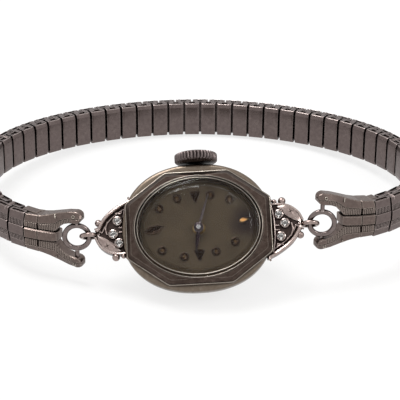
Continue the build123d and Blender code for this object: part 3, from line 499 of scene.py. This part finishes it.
def domed(outline, drop, top=dome_top):
    """An outline laid on the top of a wide ball, and lowered by a distance."""
    x, y = outline.T
    return level(outline, top - (dome_radius - np.sqrt(dome_radius ** 2 - x ** 2 - y ** 2)) - drop)


def make_crystal_highlight():
    """A painted highlight: a bright metal line on the crystal's rim, where its wall meets the dome."""
    return hoop(domed(oval(6.84, 5.48, ring_turns), 0.08), 0.028)


def make_crystal():
    """Leaning wall, rounded rim and low dome, hollow beneath with an even wall."""
    lean = np.tan(np.radians(11.0))
    rings = [level(oval(7.05 - lean * h, 5.7 - lean * h, ring_turns), crystal_seat + h)
             for h in (0, 0.5, 0.85)]
    rim = oval(6.82, 5.46, ring_turns)
    rings += [domed(rim * share, drop)
              for share, drop in ((1.0, 0.16), (0.985, 0.06), (0.965, 0), (0.8, 0), (0.6, 0),
                                  (0.4, 0), (0.2, 0), (0, 0))]
    hollow = oval(6.2, 4.85, ring_turns)
    rings += [domed(hollow * share, drop, dome_top - crystal_wall)
              for share, drop in ((0, 0), (0.3, 0), (0.6, 0), (0.9, 0), (0.98, 0.06), (1.0, 0.2))]
    rings.append(level(oval(6.5, 5.15, ring_turns), crystal_seat))
    return stack(rings, hollow=True)


# Dial marks and hands
dial_top = 0.95
mark_top = 1.07
pearl_places = [(-4.36, 2.48), (-2.3, 3.55), (1.45, 3.75), (3.6, 3.15), (4.0, -1.75), (1.8, -2.75),
                (-1.75, -3.15), (-4.2, -2.35)]


def raised_mark(outline, low, high, bevel=0.05):
    """A closed outline lifted off the dial, with its upper edge drawn in."""
    outline = np.array(outline, float)
    middle = centre_of(outline)
    drawn_in = middle + (outline - middle) * (1 - bevel * 4)
    return stack([level(outline, low), level(outline, high - bevel), level(drawn_in, high),
                  level(middle, high)])


def spun(outline, turn, x, y):
    """A plane outline turned by an angle in degrees and moved to its place."""
    c, s = np.cos(np.radians(turn)), np.sin(np.radians(turn))
    return np.array(outline) @ [(c, s), (-s, c)] + (x, y)


def make_markers():
    """Pearls in dark cups at the plain hours, wedges at three and nine, a lozenge at twelve."""
    pearl = [(0.24, dial_top), (0.2, dial_top + 0.06), (0.1, mark_top - 0.03), (0, mark_top - 0.02)]
    pearls = join([lathe(pearl, 16, (x, y, 0)) for x, y in pearl_places])
    marks = [hoop(circle_path((x, y, dial_top + 0.03), 0.35, count=24), 0.17)
             for x, y in pearl_places]
    wedge = [(-0.68, -0.1), (0.6, -0.66), (0.68, -0.3), (0.68, 0.3), (0.6, 0.66), (-0.68, 0.1)]
    marks += [raised_mark(spun(wedge, *place), dial_top, mark_top)
              for place in ((92, -0.25, 3.6), (90, -0.05, -3.1))]
    lozenge = spun([(-1.05, -0.1), (-0.5, -0.42), (0.45, -0.36), (1.1, 0.2), (0.45, 0.4),
                    (-0.5, 0.3)], 8, -5.05, 0.1)
    marks.append(hoop(level(lozenge, dial_top + 0.05), 0.11))
    marks.append(raised_mark(lozenge, dial_top, dial_top + 0.06))
    return join(marks), pearls


def make_six():
    """A gilt lance at the six."""
    lance = [(-0.42, 0.0), (-0.2, -0.2), (0.05, -0.2), (0.62, 0.0), (0.05, 0.2), (-0.2, 0.2)]
    return raised_mark(spun(lance, 2, 5.0, 0.65), dial_top, mark_top + 0.05)


def shut(rows):
    """Loops along a bar, with a point at each end that shuts it."""
    return np.concatenate([centre_of(rows[0])[None], rows, centre_of(rows[-1])[None]])


def make_hand(length, half_blade, low, turn):
    """A lance blade with a raised middle line, from a round domed boss."""
    way = length * np.array([0.0, 0.06, 0.3, 0.7, 1.0])
    half = half_blade * np.array([0.5, 0.55, 1.0, 0.7, 0.12])
    across = half[:, None] * np.array([-1, -1, 0, 1, 1])
    high = low + 0.12
    heights = np.array([low, low + 0.05, high, low + 0.05, low])
    blade = stack(shut(np.stack(np.broadcast_arrays(way[:, None], across, heights), -1)))
    boss = lathe([(0, low), (0.5, low), (0.56, low + 0.05), (0.5, high - 0.02),
                  (0.36, high + 0.02), (0.18, high + 0.05), (0, high + 0.06)], 28)
    return turned(join([blade, boss]), np.radians(turn))


# Crown
knurls = 36
knurl_depth = 0.17
crown_shortening = 0.8


def make_crown():
    """A knurled drum about the stem: its reach rises and falls thirty-six times round it.

    The profile's rows are the reach, the share of the knurls' depth and the place on the stem.
    """
    turns = angles(288)
    ridge = np.abs(np.cos(knurls / 2 * turns))
    profile = np.array([(0, 0, 0), (0.95, 0, 0), (1.0, 0, 0.02), (1.75, 0, 0.03), (1.9, 0.1, 0.06),
                        (2.38, 1, 0.38), (2.43, 1, 0.5), (2.43, 1, 1.36), (2.37, 1, 1.46),
                        (1.95, 0.2, 1.6), (1.7, 0, 1.66), (0.9, 0, 1.69), (0, 0, 1.7)])
    reach, share, along = profile.T[:, :, None]
    radius = reach - knurl_depth * share * (1 - ridge)
    rings = np.stack([radius * np.cos(turns), radius * np.sin(turns),
                      crown_shortening * along * np.ones_like(radius)], -1)
    return moved(laid(stack(rings), [X, (0, 0, -1), Y]), (0, 7.6, -0.15))


# Shoulders, drawn on the six side
arc_points = [(7.6, -3.85), (8.9, -3.2), (10.3, -2.2), (11.1, -1.2), (11.5, -0.4)]
belly_points = [(11.75, 0.5), (11.3, 1.4), (10.4, 2.15), (9.3, 2.45), (8.3, 2.45), (7.6, 2.6)]
plate_outline = np.vstack([smooth_line(arc_points, 28), smooth_line(belly_points, 34),
                           np.column_stack([np.full(12, 7.6), np.linspace(2.4, -3.6, 12)])])
leaf_outline = np.vstack([
    smooth_line([(8.75, 2.1), (9.6, 1.15), (10.6, 0.45), (11.45, 0.1)], 22),
    smooth_line([(11.4, 0.75), (10.8, 1.6), (9.9, 2.15), (8.75, 2.1)], 26)[:-1]])
stone_places = [(9.12, -1.39), (9.64, 0.1), (9.0, 1.15)]
collet_radius = 0.44
bead_places = [(9.44, 2.7, 0.45), (8.57, 2.62, 0.3), (8.1, 2.75, 0.26), (11.3, -1.3, 0.42)]
bead_top = 0.85


def grown(outline, distance):
    """A closed outline pushed outwards along its own normals, or inwards."""
    along = np.roll(outline, -1, 0) - np.roll(outline, 1, 0)
    along /= np.linalg.norm(along, axis=1)[:, None]
    return outline + distance * np.column_stack([along[:, 1], -along[:, 0]])


def crowned(outline, low, high, inset=0.12):
    """A pillow on a closed outline: upright edge, rounded shoulder and a low crown."""
    middle = centre_of(outline)
    return stack([level(outline, low), level(outline, high - 0.12),
                  level(grown(outline, -inset / 3), high - 0.04),
                  level(grown(outline, -inset), high), level((outline + middle) / 2, high + 0.08),
                  level(middle, high + 0.1)])


def rod(points, count, height, radius, flat=1.0):
    """A wire along a smooth line at one height."""
    return wire(level(smooth_line(points, count), height), radius, flat=flat)


def make_shoulder_plate():
    """The ground of the leaf, dark as painted shade, with its edge rounded and its face let in below the
    rims.
    """
    middle = centre_of(plate_outline)
    return stack([level(middle, -0.65), level(grown(plate_outline, -0.12), -0.65),
                  level(plate_outline, -0.53), level(plate_outline, 0.4),
                  level(grown(plate_outline, -0.1), 0.46), level(grown(plate_outline, -0.25), 0.42),
                  level(middle, 0.4)])


def make_shoulder():
    """Raised work: rims, bars, steps by the bezel, claws, beads, a leaf, the neck and the eye."""
    arc, belly = smooth_line(arc_points, 44), smooth_line(belly_points, 44)
    parts = [wire(level(grown(arc, -0.16), 0.62), 0.26, flat=1.3),
             wire(level(grown(arc, -0.52) + (-0.1, 0.12), 0.56), 0.1),
             wire(level(belly + (-0.1, -0.12), 0.55), 0.16, flat=1.2),
             rod([(8.15, -3.2), (8.42, -1.6), (8.42, 0.6), (8.15, 2.3)], 30, 0.6, 0.15, 1.4),
             rod([(8.6, -2.65), (8.72, -2.25), (9.35, -2.3)], 12, 0.6, 0.1),
             rod([(10.25, -1.35), (10.5, -0.6), (10.35, 0.1)], 14, 0.6, 0.12)]
    parts += [wire([(8.45, y, 0.62), (8.75, y, 0.62), (9.0, y, 0.62)], 0.09) for y in (-0.62, -0.1)]
    parts.append(crowned(leaf_outline, 0.3, 0.72))
    for x, y in stone_places:
        parts.append(hoop(circle_path((x, y, 0.74), collet_radius, count=28), 0.11))
        claws = (x, y) + oval(collet_radius, collet_radius, np.radians([45, 135, 225, 315]))
        parts += [ball((*claw, 0.87), 0.13, 7, 10) for claw in claws]
    parts += [ball((x, y, bead_top - radius), radius, 11, 18) for x, y, radius in bead_places]
    parts.append(hoop(circle_path((12.45, 0, 0), 0.85, X, Z), 0.26, Y, 16))
    parts.append(wire([(11.1, 0, 0.15), (11.45, 0, 0.1), (11.8, 0, 0)], (0.5, 0.42, 0.3), up=Y))
    return join(parts)


def make_star():
    """A star cut in the leaf, dark as painted shade: four long points and four short."""
    reach = np.array([0.36, 0.09] * 4)[:, None]
    star = reach * oval(1, 1, angles(8) + 0.3)
    return raised_mark(star + (10.35, 1.4), 0.7, 0.84, 0.02)


def make_stones():
    """Cut stones on both sides: a girdle of eight corners under a small table."""
    stone = [(0, 0.66), (0.2, 0.66), (0.4, 0.9), (0.24, 1.1), (0, 1.1)]
    one_side = join([lathe(stone, 8, (x, y, 0)) for x, y in stone_places])
    return join([one_side, turned_half(one_side)])


# Bracelet path: inner face of the right half, from the middle of the back to the front
link_pitch = 2.1
link_gap = 0.15
link_length = link_pitch - link_gap
link_layer = 1.05
outer_offset = 1.17
link_wall = 0.2
links_each_side = 24
first_stretch_link = 13
stretch_links = 7
loop_half_width = 25
loop_centre_depth = 16.8
loop_rear, rear_power = 17.6, 1.87
loop_front, front_power = 17.1, 2.8
loop_tilt = np.radians(4)
ring_reach = 13.8
ring_span = ring_reach * np.cos(loop_tilt)
ring_rise = ring_reach * np.sin(loop_tilt)
flare_share = 0.85


def quarter(turns, depth, power):
    """A quarter of an oval whose two reaches follow a power of the turn's cosine and sine."""
    return np.column_stack([loop_half_width * np.cos(turns) ** (2 / power),
                            loop_centre_depth + depth * np.sin(turns) ** (2 / power)])


def make_path():
    """Two quarter ovals of different powers: squarer in front, rounder at the back."""
    rear = quarter(np.linspace(np.pi / 2, 0, 900), loop_rear, rear_power)
    front = quarter(np.linspace(0, np.pi / 2, 900)[1:], -loop_front, front_power)
    points = np.vstack([rear, front])
    steps = np.linalg.norm(np.diff(points, axis=0), axis=1)
    return points, np.concatenate([[0], np.cumsum(steps)])


path_points, path_lengths = make_path()


def path_point(length):
    return np.array([np.interp(length, path_lengths, path_points[:, axis]) for axis in (0, 1)])


def path_place(length, step=0.05):
    """Point and heading at a length from the middle of the back."""
    x, y = path_point(length)
    ahead, behind = path_point(length + step), path_point(abs(length - step))
    if length < step:
        behind[0] = -behind[0]
    return x, y, np.arctan2(ahead[1] - behind[1], ahead[0] - behind[0])


def on_path(part, length, side):
    """Places a surface drawn along +X with +Y outwards on the right (1) or left (-1) half."""
    x, y, heading = path_place(length)
    share = min(max(y / loop_centre_depth, 0), 1)
    lift = side * ring_rise * (1 + np.cos(np.pi * share)) / 2
    placed = moved(turned(part, heading), (x, y, half_width + lift))
    return placed if side > 0 else mirrored(placed)


def flared(part, length):
    """Lengthened with its height by the path's bend, so that the gaps between links stay even."""
    before = path_place(max(length - link_pitch / 2, 0))[2]
    after = path_place(length + link_pitch / 2)[2]
    bend = flare_share * max(before - after, 0) / link_pitch
    points = part[0]
    return np.column_stack([points[:, 0] * (1 + bend * points[:, 1]), points[:, 1:]]), part[1]


# Stations across a link and how far its face falls there. The outer face has slopes, milled
# bands and a middle panel; the inner one is plain with bevelled edges
outer_z = np.array([0, 0.06, 0.85, 0.93, 1.5, 1.54, 1.62, 2.72, 2.8, 2.84, 3.4, 3.48, 4.29, 4.35])
outer_falls = np.array([0.42, 0.34, 0.17, 0.17, 0.08, 0.16, 0, 0, 0.16, 0.08, 0.17, 0.17, 0.34, 0.42])
outer_milled = np.array([0, 0, 0, 1, 1, 0, 0, 0, 0, 1, 1, 0, 0, 0])
inner_z = np.array([0, 0.05, 0.46, 0.52, 3.83, 3.89, 4.3, 4.35])
inner_falls = np.array([0.24, 0.17, 0.02, 0, 0, 0.02, 0.17, 0.24])
rib_depth = 0.07
rib_pitch = 0.2


def section(half, low, high, across, soft=0.1):
    """One loop round a link: along the face that shows, down an end, back under it and up."""
    end = np.array([(half - 0.3 * soft, high - 0.3 * soft), (half, high - soft),
                    (half, low + 0.06), (half - 0.06, low)])
    face = np.column_stack([across * half, np.full(len(across), high)])
    return np.vstack([face, end, (0, low), end[::-1] * (-1, 1)])


def rib_stations(start, end):
    """Places along a milled band and how deep each lies: four to a rib, two up and two down."""
    count = int(round((end - start) / rib_pitch))
    first = start + (end - start) * np.arange(count) / count
    place = (first[:, None] + (end - start) / count * np.array([0.0, 0.4, 0.5, 0.9])).ravel()
    return place, np.tile([0.0, 0.0, 1.0, 1.0], count)


def capped(rows, inner):
    """Closes a tube at both edges with a wall let in below its rim."""
    rim, floor = half_width - 0.02, half_width - 0.16
    middle = centre_of(inner)
    under = [level(middle, -floor), level(inner, -floor), level(inner, -rim)]
    over = [level(inner, rim), level(inner, floor), level(middle, floor)]
    return stack(under + list(rows) + over, flip=True)


def tube(loop, face, heights, falls, inner, dips=0.0):
    """A loop drawn at stations across the link, where its face falls.

    The face is the loop's first points, and the two points on either side fall with it.
    """
    rows = np.array([level(loop, height - half_width) for height in heights])
    rows[:, :face, 1] -= falls[:, None] + dips
    rows[:, [face, face + 1, -2, -1], 1] -= falls[:, None]
    return capped(rows, inner)


def upended(loop):
    """A loop with its face turned to the inner side of the bracelet."""
    return loop * (-1, -1) + (0, link_layer)


def make_outer_link():
    """A tube whose face has a panel, two milled bands and two slopes."""
    half = link_length / 2
    place, dip = rib_stations(-half + 0.14, half - 0.06)
    across = np.concatenate([[-half + 0.08], place, [half - 0.08]]) / half
    dips = outer_milled[:, None] * rib_depth * np.concatenate([[0], dip, [0]])
    inner = section(half - link_wall, link_wall, link_layer - link_wall - 0.25, across, 0.06)
    return tube(section(half, 0, link_layer, across), len(across), outer_z, outer_falls, inner, dips)


def make_inner_link():
    """A plain tube, with its inner face bevelled towards the bracelet's edges."""
    half = link_length / 2 - 0.05
    across = np.array([-0.9, -0.6, 0, 0.6, 0.9])
    inner = section(half - link_wall, link_wall, link_layer - link_wall, across, 0.06)
    return tube(upended(section(half, 0, link_layer, across)), len(across), inner_z, -inner_falls,
                upended(inner))


def make_staple():
    """A flat strip bent over the two walls, with a leg in each tube."""
    path = [(0, 0.5, 1.5), (0, 0.5, 1.95), (0, 0.52, 2.07), (0, 0.6, 2.09), (0, 1.7, 2.09),
            (0, 1.78, 2.07), (0, 1.8, 1.95), (0, 1.8, 1.5)]
    return wire(path, 0.15, up=X, sides=4)


outer_tube = moved(make_outer_link(), (0, outer_offset, 0))
inner_tube = make_inner_link()
staple_up = make_staple()
staple_down = mirrored(staple_up, (1, 1, -1))


def link_run(indexes, side, with_staples=True):
    """The tubes of a run of links, with the staples that tie them."""
    parts = []
    for index in indexes:
        parts.append(on_path(flared(outer_tube, index * link_pitch), index * link_pitch, side))
        if index < links_each_side - 1:
            parts.append(on_path(inner_tube, (index + 0.5) * link_pitch, side))
            if with_staples:
                at = (index + 0.25) * link_pitch
                parts += [on_path(staple_up, at, side), on_path(staple_down, at, side)]
    return join(parts)


# Bracelet ends and rings. An end is drawn along +X from its ring, with the face that shows at -Y
root_middle = 1.11
seam_place = 4.45
root_gap = 0.04
tip_rise = 0.3


def fork_frame():
    """Length and heading of a bracelet end, from its ring to the first link, and that link's."""
    x, y, heading = path_place((links_each_side - 0.5) * link_pitch)
    x, y = x - np.sin(heading) * root_middle, y + np.cos(heading) * root_middle
    return np.hypot(x - ring_span, y), np.arctan2(y, x - ring_span), heading


fork_length, fork_heading, root_heading = fork_frame()
fork_end = fork_length - root_gap
root_lean = root_heading + np.pi - fork_heading


def leaned(part):
    """Leans the root, from the seam on, so that its end lies along the first link's."""
    points = part[0]
    share = np.clip((points[:, 0] - seam_place) / (fork_length - seam_place), 0, 1)
    x = points[:, 0] - share * np.tan(root_lean) * points[:, 1]
    return np.column_stack([x, points[:, 1:]]), part[1]


def risen(part, side):
    """Raises the right end's tips and lowers the left's, less and less towards the root."""
    points = part[0]
    share = np.clip(1 - points[:, 0] / fork_length, 0, 1)
    return np.column_stack([points[:, :2], points[:, 2] + side * tip_rise * share]), part[1]


def bar(way, loops, flip=False):
    """A closed loop of points, each a (Y, Z) pair of values for every place along X, shut at
    both ends."""
    places = np.broadcast_to(way, (len(loops), 1, len(way)))
    rows = np.concatenate([places, np.array(loops)], 1).transpose(2, 0, 1)
    return stack(shut(rows), flip=flip)


def make_fork_arm():
    """Upper arm: a closed loop carried from the root to the rounded tip.

    The loop runs down the plain slope, over an engraved line and the milled band to the inner
    side; every rib is a step in the milled band, and a seam crosses both.
    """
    ribs, dip = rib_stations(0.35, fork_end - 0.1)
    way = np.concatenate([[fork_end], ribs[::-1], [0.2, 0.0, -0.3, -0.55, -0.7, -0.75]])
    dip = rib_depth * np.concatenate([[0], dip[::-1], np.zeros(6)])
    seam = 0.1 * (np.abs(way - seam_place) < 0.06)
    outer = np.interp(way, [-0.75, -0.7, -0.5, -0.2, 0, 1.0, 2.1, 3.2, 4.2, fork_end],
                      [2.85, 3.1, 3.33, 3.43, 3.45, 3.28, 2.95, 2.55, 2.28, 2.175])
    inner = np.interp(way, [-0.75, -0.7, -0.5, -0.2, 0, 0.8, 1.4, 1.85, 2.25, 2.5, fork_end],
                      [2.85, 2.5, 2.25, 2.13, 2.1, 2.0, 1.78, 1.4, 0.9, 0.66, 0.66])
    thick = np.interp(way, [-0.75, 2.1, 4.43, fork_end], [0.75, 0.75, 1.11, 1.11])
    tip = np.interp(way, [-0.75, -0.7, -0.55, -0.3, 0], [0.6, 0.75, 0.9, 0.98, 1.0])
    ridge = inner + (outer - inner) * np.interp(way, [-0.75, 2.1, fork_end], [0.45, 0.45, 0.5])
    face, back = seam - thick * tip, thick * tip
    return bar(way, [(face + 0.5, outer), (face + 0.42, outer - 0.05), (face + 0.1, ridge + 0.06),
                     (face + 0.17, ridge), (face + 0.07 + dip, ridge - 0.05),
                     (face + 0.13 + dip, inner + 0.1), (face + 0.26, inner), (back, inner),
                     (back, outer - 0.08), (back - 0.08, outer)])


def make_panel():
    """The middle panel: a bar with bevelled edges that rises from the crotch to the root."""
    way = np.array([2.2, 2.3, 2.75, seam_place - 0.06, seam_place - 0.05, seam_place + 0.05,
                    seam_place + 0.06, fork_end])
    face = np.array([-0.2, -0.62, -0.86, -1.1, -1.0, -1.0, -1.1, -1.13])
    half = np.array([0.5, 0.55, 0.58, 0.6, 0.6, 0.6, 0.6, 0.6])
    back = np.full(len(way), 0.9)
    return bar(way, [(face + 0.14, half), (face, half - 0.1), (face, 0.1 - half),
                     (face + 0.14, -half), (back, -half), (back, half)], flip=True)


def make_fork():
    """Two arms and the panel between them."""
    upper = make_fork_arm()
    return leaned(join([upper, mirrored(upper, (1, 1, -1)), make_panel()]))


def make_root_lug():
    """The inner half of an end: a bar with softened edges that reaches under the last outer tube.

    A four-sided section with rounded corners, drawn along the bar, is carried across its width.
    """
    soft = 0.06
    loop = section(link_pitch / 2, 0, link_layer, np.array([-0.9, 0, 0.9]), soft)
    loop += (link_pitch / 2, 0)
    middle = centre_of(loop)
    drawn_in = middle + (loop - middle) * 0.94
    return stack([level(middle, -half_width), level(drawn_in, -half_width),
                  level(loop, soft - half_width), level(loop, half_width - soft),
                  level(drawn_in, half_width), level(middle, half_width)], flip=True)


def make_fork_marks():
    """Bright marks: the riveted ends of the ring's posts, and a painted highlight across each plain slope.
    """
    parts = []
    for side in (1, -1):
        rivet = circle_path((0.15, -0.6, side * 2.95), 0.15, X, (0, 0.3, 1), 16)
        parts.append(hoop(rivet, 0.05, Y))
        # Painted highlight: the cut is a thin bright wire that stands for a glint across the slope.
        cut = [(2.35, -0.66, side * 2.35), (2.42, -0.56, side * 2.55), (2.5, -0.42, side * 2.75)]
        parts.append(wire(cut, 0.045, up=Y, sides=6))
    return join(parts)


def make_ring():
    """Round ring with a post above and below that turns in the bracelet end."""
    parts = [hoop(circle_path((0, 0, 0), 1.4, X, Z, 64), 0.3, Y, 16)]
    parts += [wire([(0, 0, way * 1.5), (0, 0, way * 2.2), (0, 0, way * 2.98)], 0.25, up=Y, sides=14)
              for way in (-1, 1)]
    return join(parts)


def at_end(part, side, heading=fork_heading):
    """Places a surface drawn from the ring's centre on the right (1) or left (-1) end."""
    placed = moved(turned(part, heading), (ring_span, 0, half_width + side * ring_rise))
    return placed if side > 0 else mirrored(placed)


# The visible pieces
marks, pearls = make_markers()
for name, part, slot, *finish in (
        ("case_band", make_case(), "case_metal", case_metal, ["case_body"]),
        ("back_cover", make_back(), "case_metal", case_metal, ["case_back"]),
        ("bezel_facets", make_bezel(), "case_metal", bezel_metal, ["bezel"], 20),
        # Painted highlights: bright lines on the bezel and on the crystal's rim.
        ("bezel_line", make_bezel_highlights(), "case_metal", bezel_edge_metal),
        ("crystal_line", make_crystal_highlight(), "crystal", bezel_edge_metal),
        ("domed_crystal", make_crystal(), "crystal", crystal_clear, ["crystal"], 50),
        ("marker_cups", marks, "marker_gilt", marker_metal, ["hour_markers"]),
        ("marker_pearls", pearls, "marker_gilt", pearl_metal),
        ("six_lance", make_six(), "marker_gilt", gilt)):
    piece(name, part, in_head, "watch_head", slot, *finish)
piece("minute_lance", make_hand(3.95, 0.14, 1.55, 72), in_head, "minute_hand", "hand_steel",
      minute_metal, ["minute_hand"])
piece("hour_lance", make_hand(2.75, 0.24, 1.22, -99), in_head, "hour_hand", "hand_steel",
      hour_metal, ["hour_hand"])
piece("knurled_crown", make_crown(), in_head, "crown", "crown_metal", crown_metal, ["crown"],
      sharp=40)
for side, node, turn in (("six", "right_shoulder", lambda part: part),
                         ("twelve", "left_shoulder", turned_half)):
    # The ground and the star take the dark recess finish, which is painted shade.
    for name, part, *finish in (("_shoulder_ground", make_shoulder_plate(), recess_metal, [node]),
                                ("_shoulder_work", make_shoulder(), shoulder_metal),
                                ("_shoulder_star", make_star(), recess_metal)):
        piece(side + name, turn(part), in_head, "watch_head", "case_metal", *finish)
piece("cut_stones", make_stones(), in_head, "watch_head", "stone", stone_clear,
      ["shoulder_stones"], sharp=5)

fork = make_fork()
fork_marks = make_fork_marks()
ring = make_ring()
root_lug = make_root_lug()
lug_start = (links_each_side - 1) * link_pitch + link_gap / 2
first_front_link = first_stretch_link + stretch_links
for name, side in (("left", -1), ("right", 1)):
    whole_end = join([at_end(risen(fork, side), side), on_path(root_lug, lug_start, side)])
    piece(name + "_fork", whole_end, in_band, "bracelet_ends", "band_metal", fork_metal,
          [name + "_bracelet_end"], sharp=25)
    # Bright marks: rivet ends, and a painted highlight on each slope.
    piece(name + "_fork_marks", at_end(risen(fork_marks, side), side), in_band, "bracelet_ends",
          "band_metal", bezel_edge_metal)
    piece(name + "_round_ring", at_end(ring, side, heading=0), in_band, name + "_ring",
          "band_metal", ring_metal, [name + "_ring"])
    piece(name + "_front_tubes", link_run(range(first_front_link, links_each_side), side),
          in_band, "bracelet_ends", "band_metal", band_metal, [name + "_front_links"])
    for number, index in enumerate(reversed(range(first_stretch_link, first_front_link)), 1):
        piece(f"{name}_tubes_{number}", link_run([index], side), in_band, f"{name}_link_{number}",
              "band_metal", band_metal, [f"{name}_link_{number}"])
rear = [link_run(range(first_stretch_link), 1, with_staples=False),
        link_run(range(1, first_stretch_link), -1, with_staples=False),
        on_path(inner_tube, 0.5 * link_pitch, -1)]
piece("rear_tubes", join(rear), in_band, "bracelet_rear", "band_metal", band_metal,
      ["rear_inner_links", "rear_outer_links"])

# The nodes that no piece replaces
finishes = {"jewels": ruby, "dial": dial_paint}
finishes |= dict.fromkeys(("main_plate", "train_bridge", "balance_cock"), nickel)
finishes |= dict.fromkeys(("mainspring_barrel", "center_wheel", "third_wheel", "fourth_wheel",
                           "balance_wheel", "hour_wheel", "minute_wheel"), brass)
for name, made in nodes.items():
    if made.hide_render:
        continue
    made.data.materials.clear()
    finish = finishes.get(name, band_metal if name.startswith("rear_") else steel)
    made.data.materials.append(finish)


# Floor, world, lamps and camera
def background_share(tree, amount):
    """How much of its own white a surface shows: to the camera, and in metal and glass."""
    rays = shade(tree, "ShaderNodeLightPath").outputs
    straight = maths(tree, "MAXIMUM", rays["Is Camera Ray"], rays["Is Transmission Ray"])
    return maths(tree, "MULTIPLY", maths(tree, "MAXIMUM", straight, rays["Is Glossy Ray"]), amount)


def show_white(tree, kind, amount, lit, output):
    """Mixes a plain white into what a surface or the world shows, by its background share."""
    white = shade(tree, kind, {"Color": (1, 1, 1, 1), "Strength": 1.0})
    mix = shade(tree, "ShaderNodeMixShader", {0: background_share(tree, amount),
                                              1: tree.nodes[lit].outputs[0], 2: white.outputs[0]})
    tree.links.new(mix.outputs[0], tree.nodes[output].inputs["Surface"])


def make_floor():
    """A pale floor that keeps the object's shadow under its own white."""
    reach = 2.0
    mesh = bpy.data.meshes.new("floor")
    mesh.from_pydata([(-reach, -reach, 0), (reach, -reach, 0), (reach, reach, 0),
                      (-reach, reach, 0)], [], [(0, 1, 2, 3)])
    material, tree, _ = new_material("white_floor", {"Base Color": (0.9, 0.9, 0.9, 1), "Roughness": 0.9})
    show_white(tree, "ShaderNodeEmission", 0.75, "Principled BSDF", "Material Output")
    mesh.materials.append(material)
    made = put("floor", mesh)


def make_world():
    """Even studio light; the camera, metal and glass all see the same plain white."""
    world = bpy.data.worlds.new("studio")
    bpy.context.scene.world = world
    world.use_nodes = True
    tree = world.node_tree
    light = tree.nodes["Background"].inputs
    light["Color"].default_value = (1.0, 0.98, 0.96, 1)
    light["Strength"].default_value = 0.8
    show_white(tree, "ShaderNodeBackground", 1.0, "Background", "World Output")


def look(rows, place):
    """A pose whose X, Y and Z axes are the rows, at a place in metres."""
    pose = np.eye(4)
    pose[:3, :3] = np.array(rows).T
    pose[:3, 3] = place
    return Matrix(pose.tolist())


def lamp(name, place, aim, size, power):
    """A soft square lamp that faces a point."""
    light = bpy.data.lights.new(name, "AREA")
    light.size = size
    light.energy = power
    away = np.subtract(place, aim)
    aside = np.cross(Z, away)
    rows = [row / np.linalg.norm(row) for row in (aside, np.cross(away, aside), away)]
    put(name, light).matrix_world = look(rows, place)


def make_camera():
    """The photograph's view: 24 degrees above the bracelet's plane, from 178 mm."""
    lift, roll, distance = np.radians(24.0), 0.0076, 178.3
    aim = (0.065, -0.059, 5.888)
    focal_pixels, photo_pixels = 1598.6, 400
    ahead = np.array((0, np.cos(lift), -np.sin(lift)))
    over = np.array((0, np.sin(lift), np.cos(lift)))
    c, s, right = np.cos(roll), np.sin(roll), np.array(X)
    rows = np.array([c * right + s * over, -s * right + c * over, -ahead]) @ band_axes
    lens = bpy.data.cameras.new("camera")
    lens.sensor_width = 36
    lens.lens = focal_pixels / photo_pixels * lens.sensor_width
    lens.clip_start = 0.001
    made = put("camera", lens)
    made.matrix_world = look(rows, in_band(aim - distance * ahead) * MM)
    bpy.context.scene.camera = made


make_floor()
make_world()
lamp("key", (-0.1, 0.05, 0.34), (0, 0, 0), size=0.16, power=0.85)
lamp("fill", (0.22, -0.08, 0.2), (0, 0, 0), size=0.08, power=0.15)
window_way = in_head((0.25, 0.42, 0.87)) - head_at
lamp("window", head_at * MM + 0.3 * window_way, head_at * MM, size=0.03, power=0.012)
make_camera()
bpy.context.scene.view_settings.view_transform = "Standard"
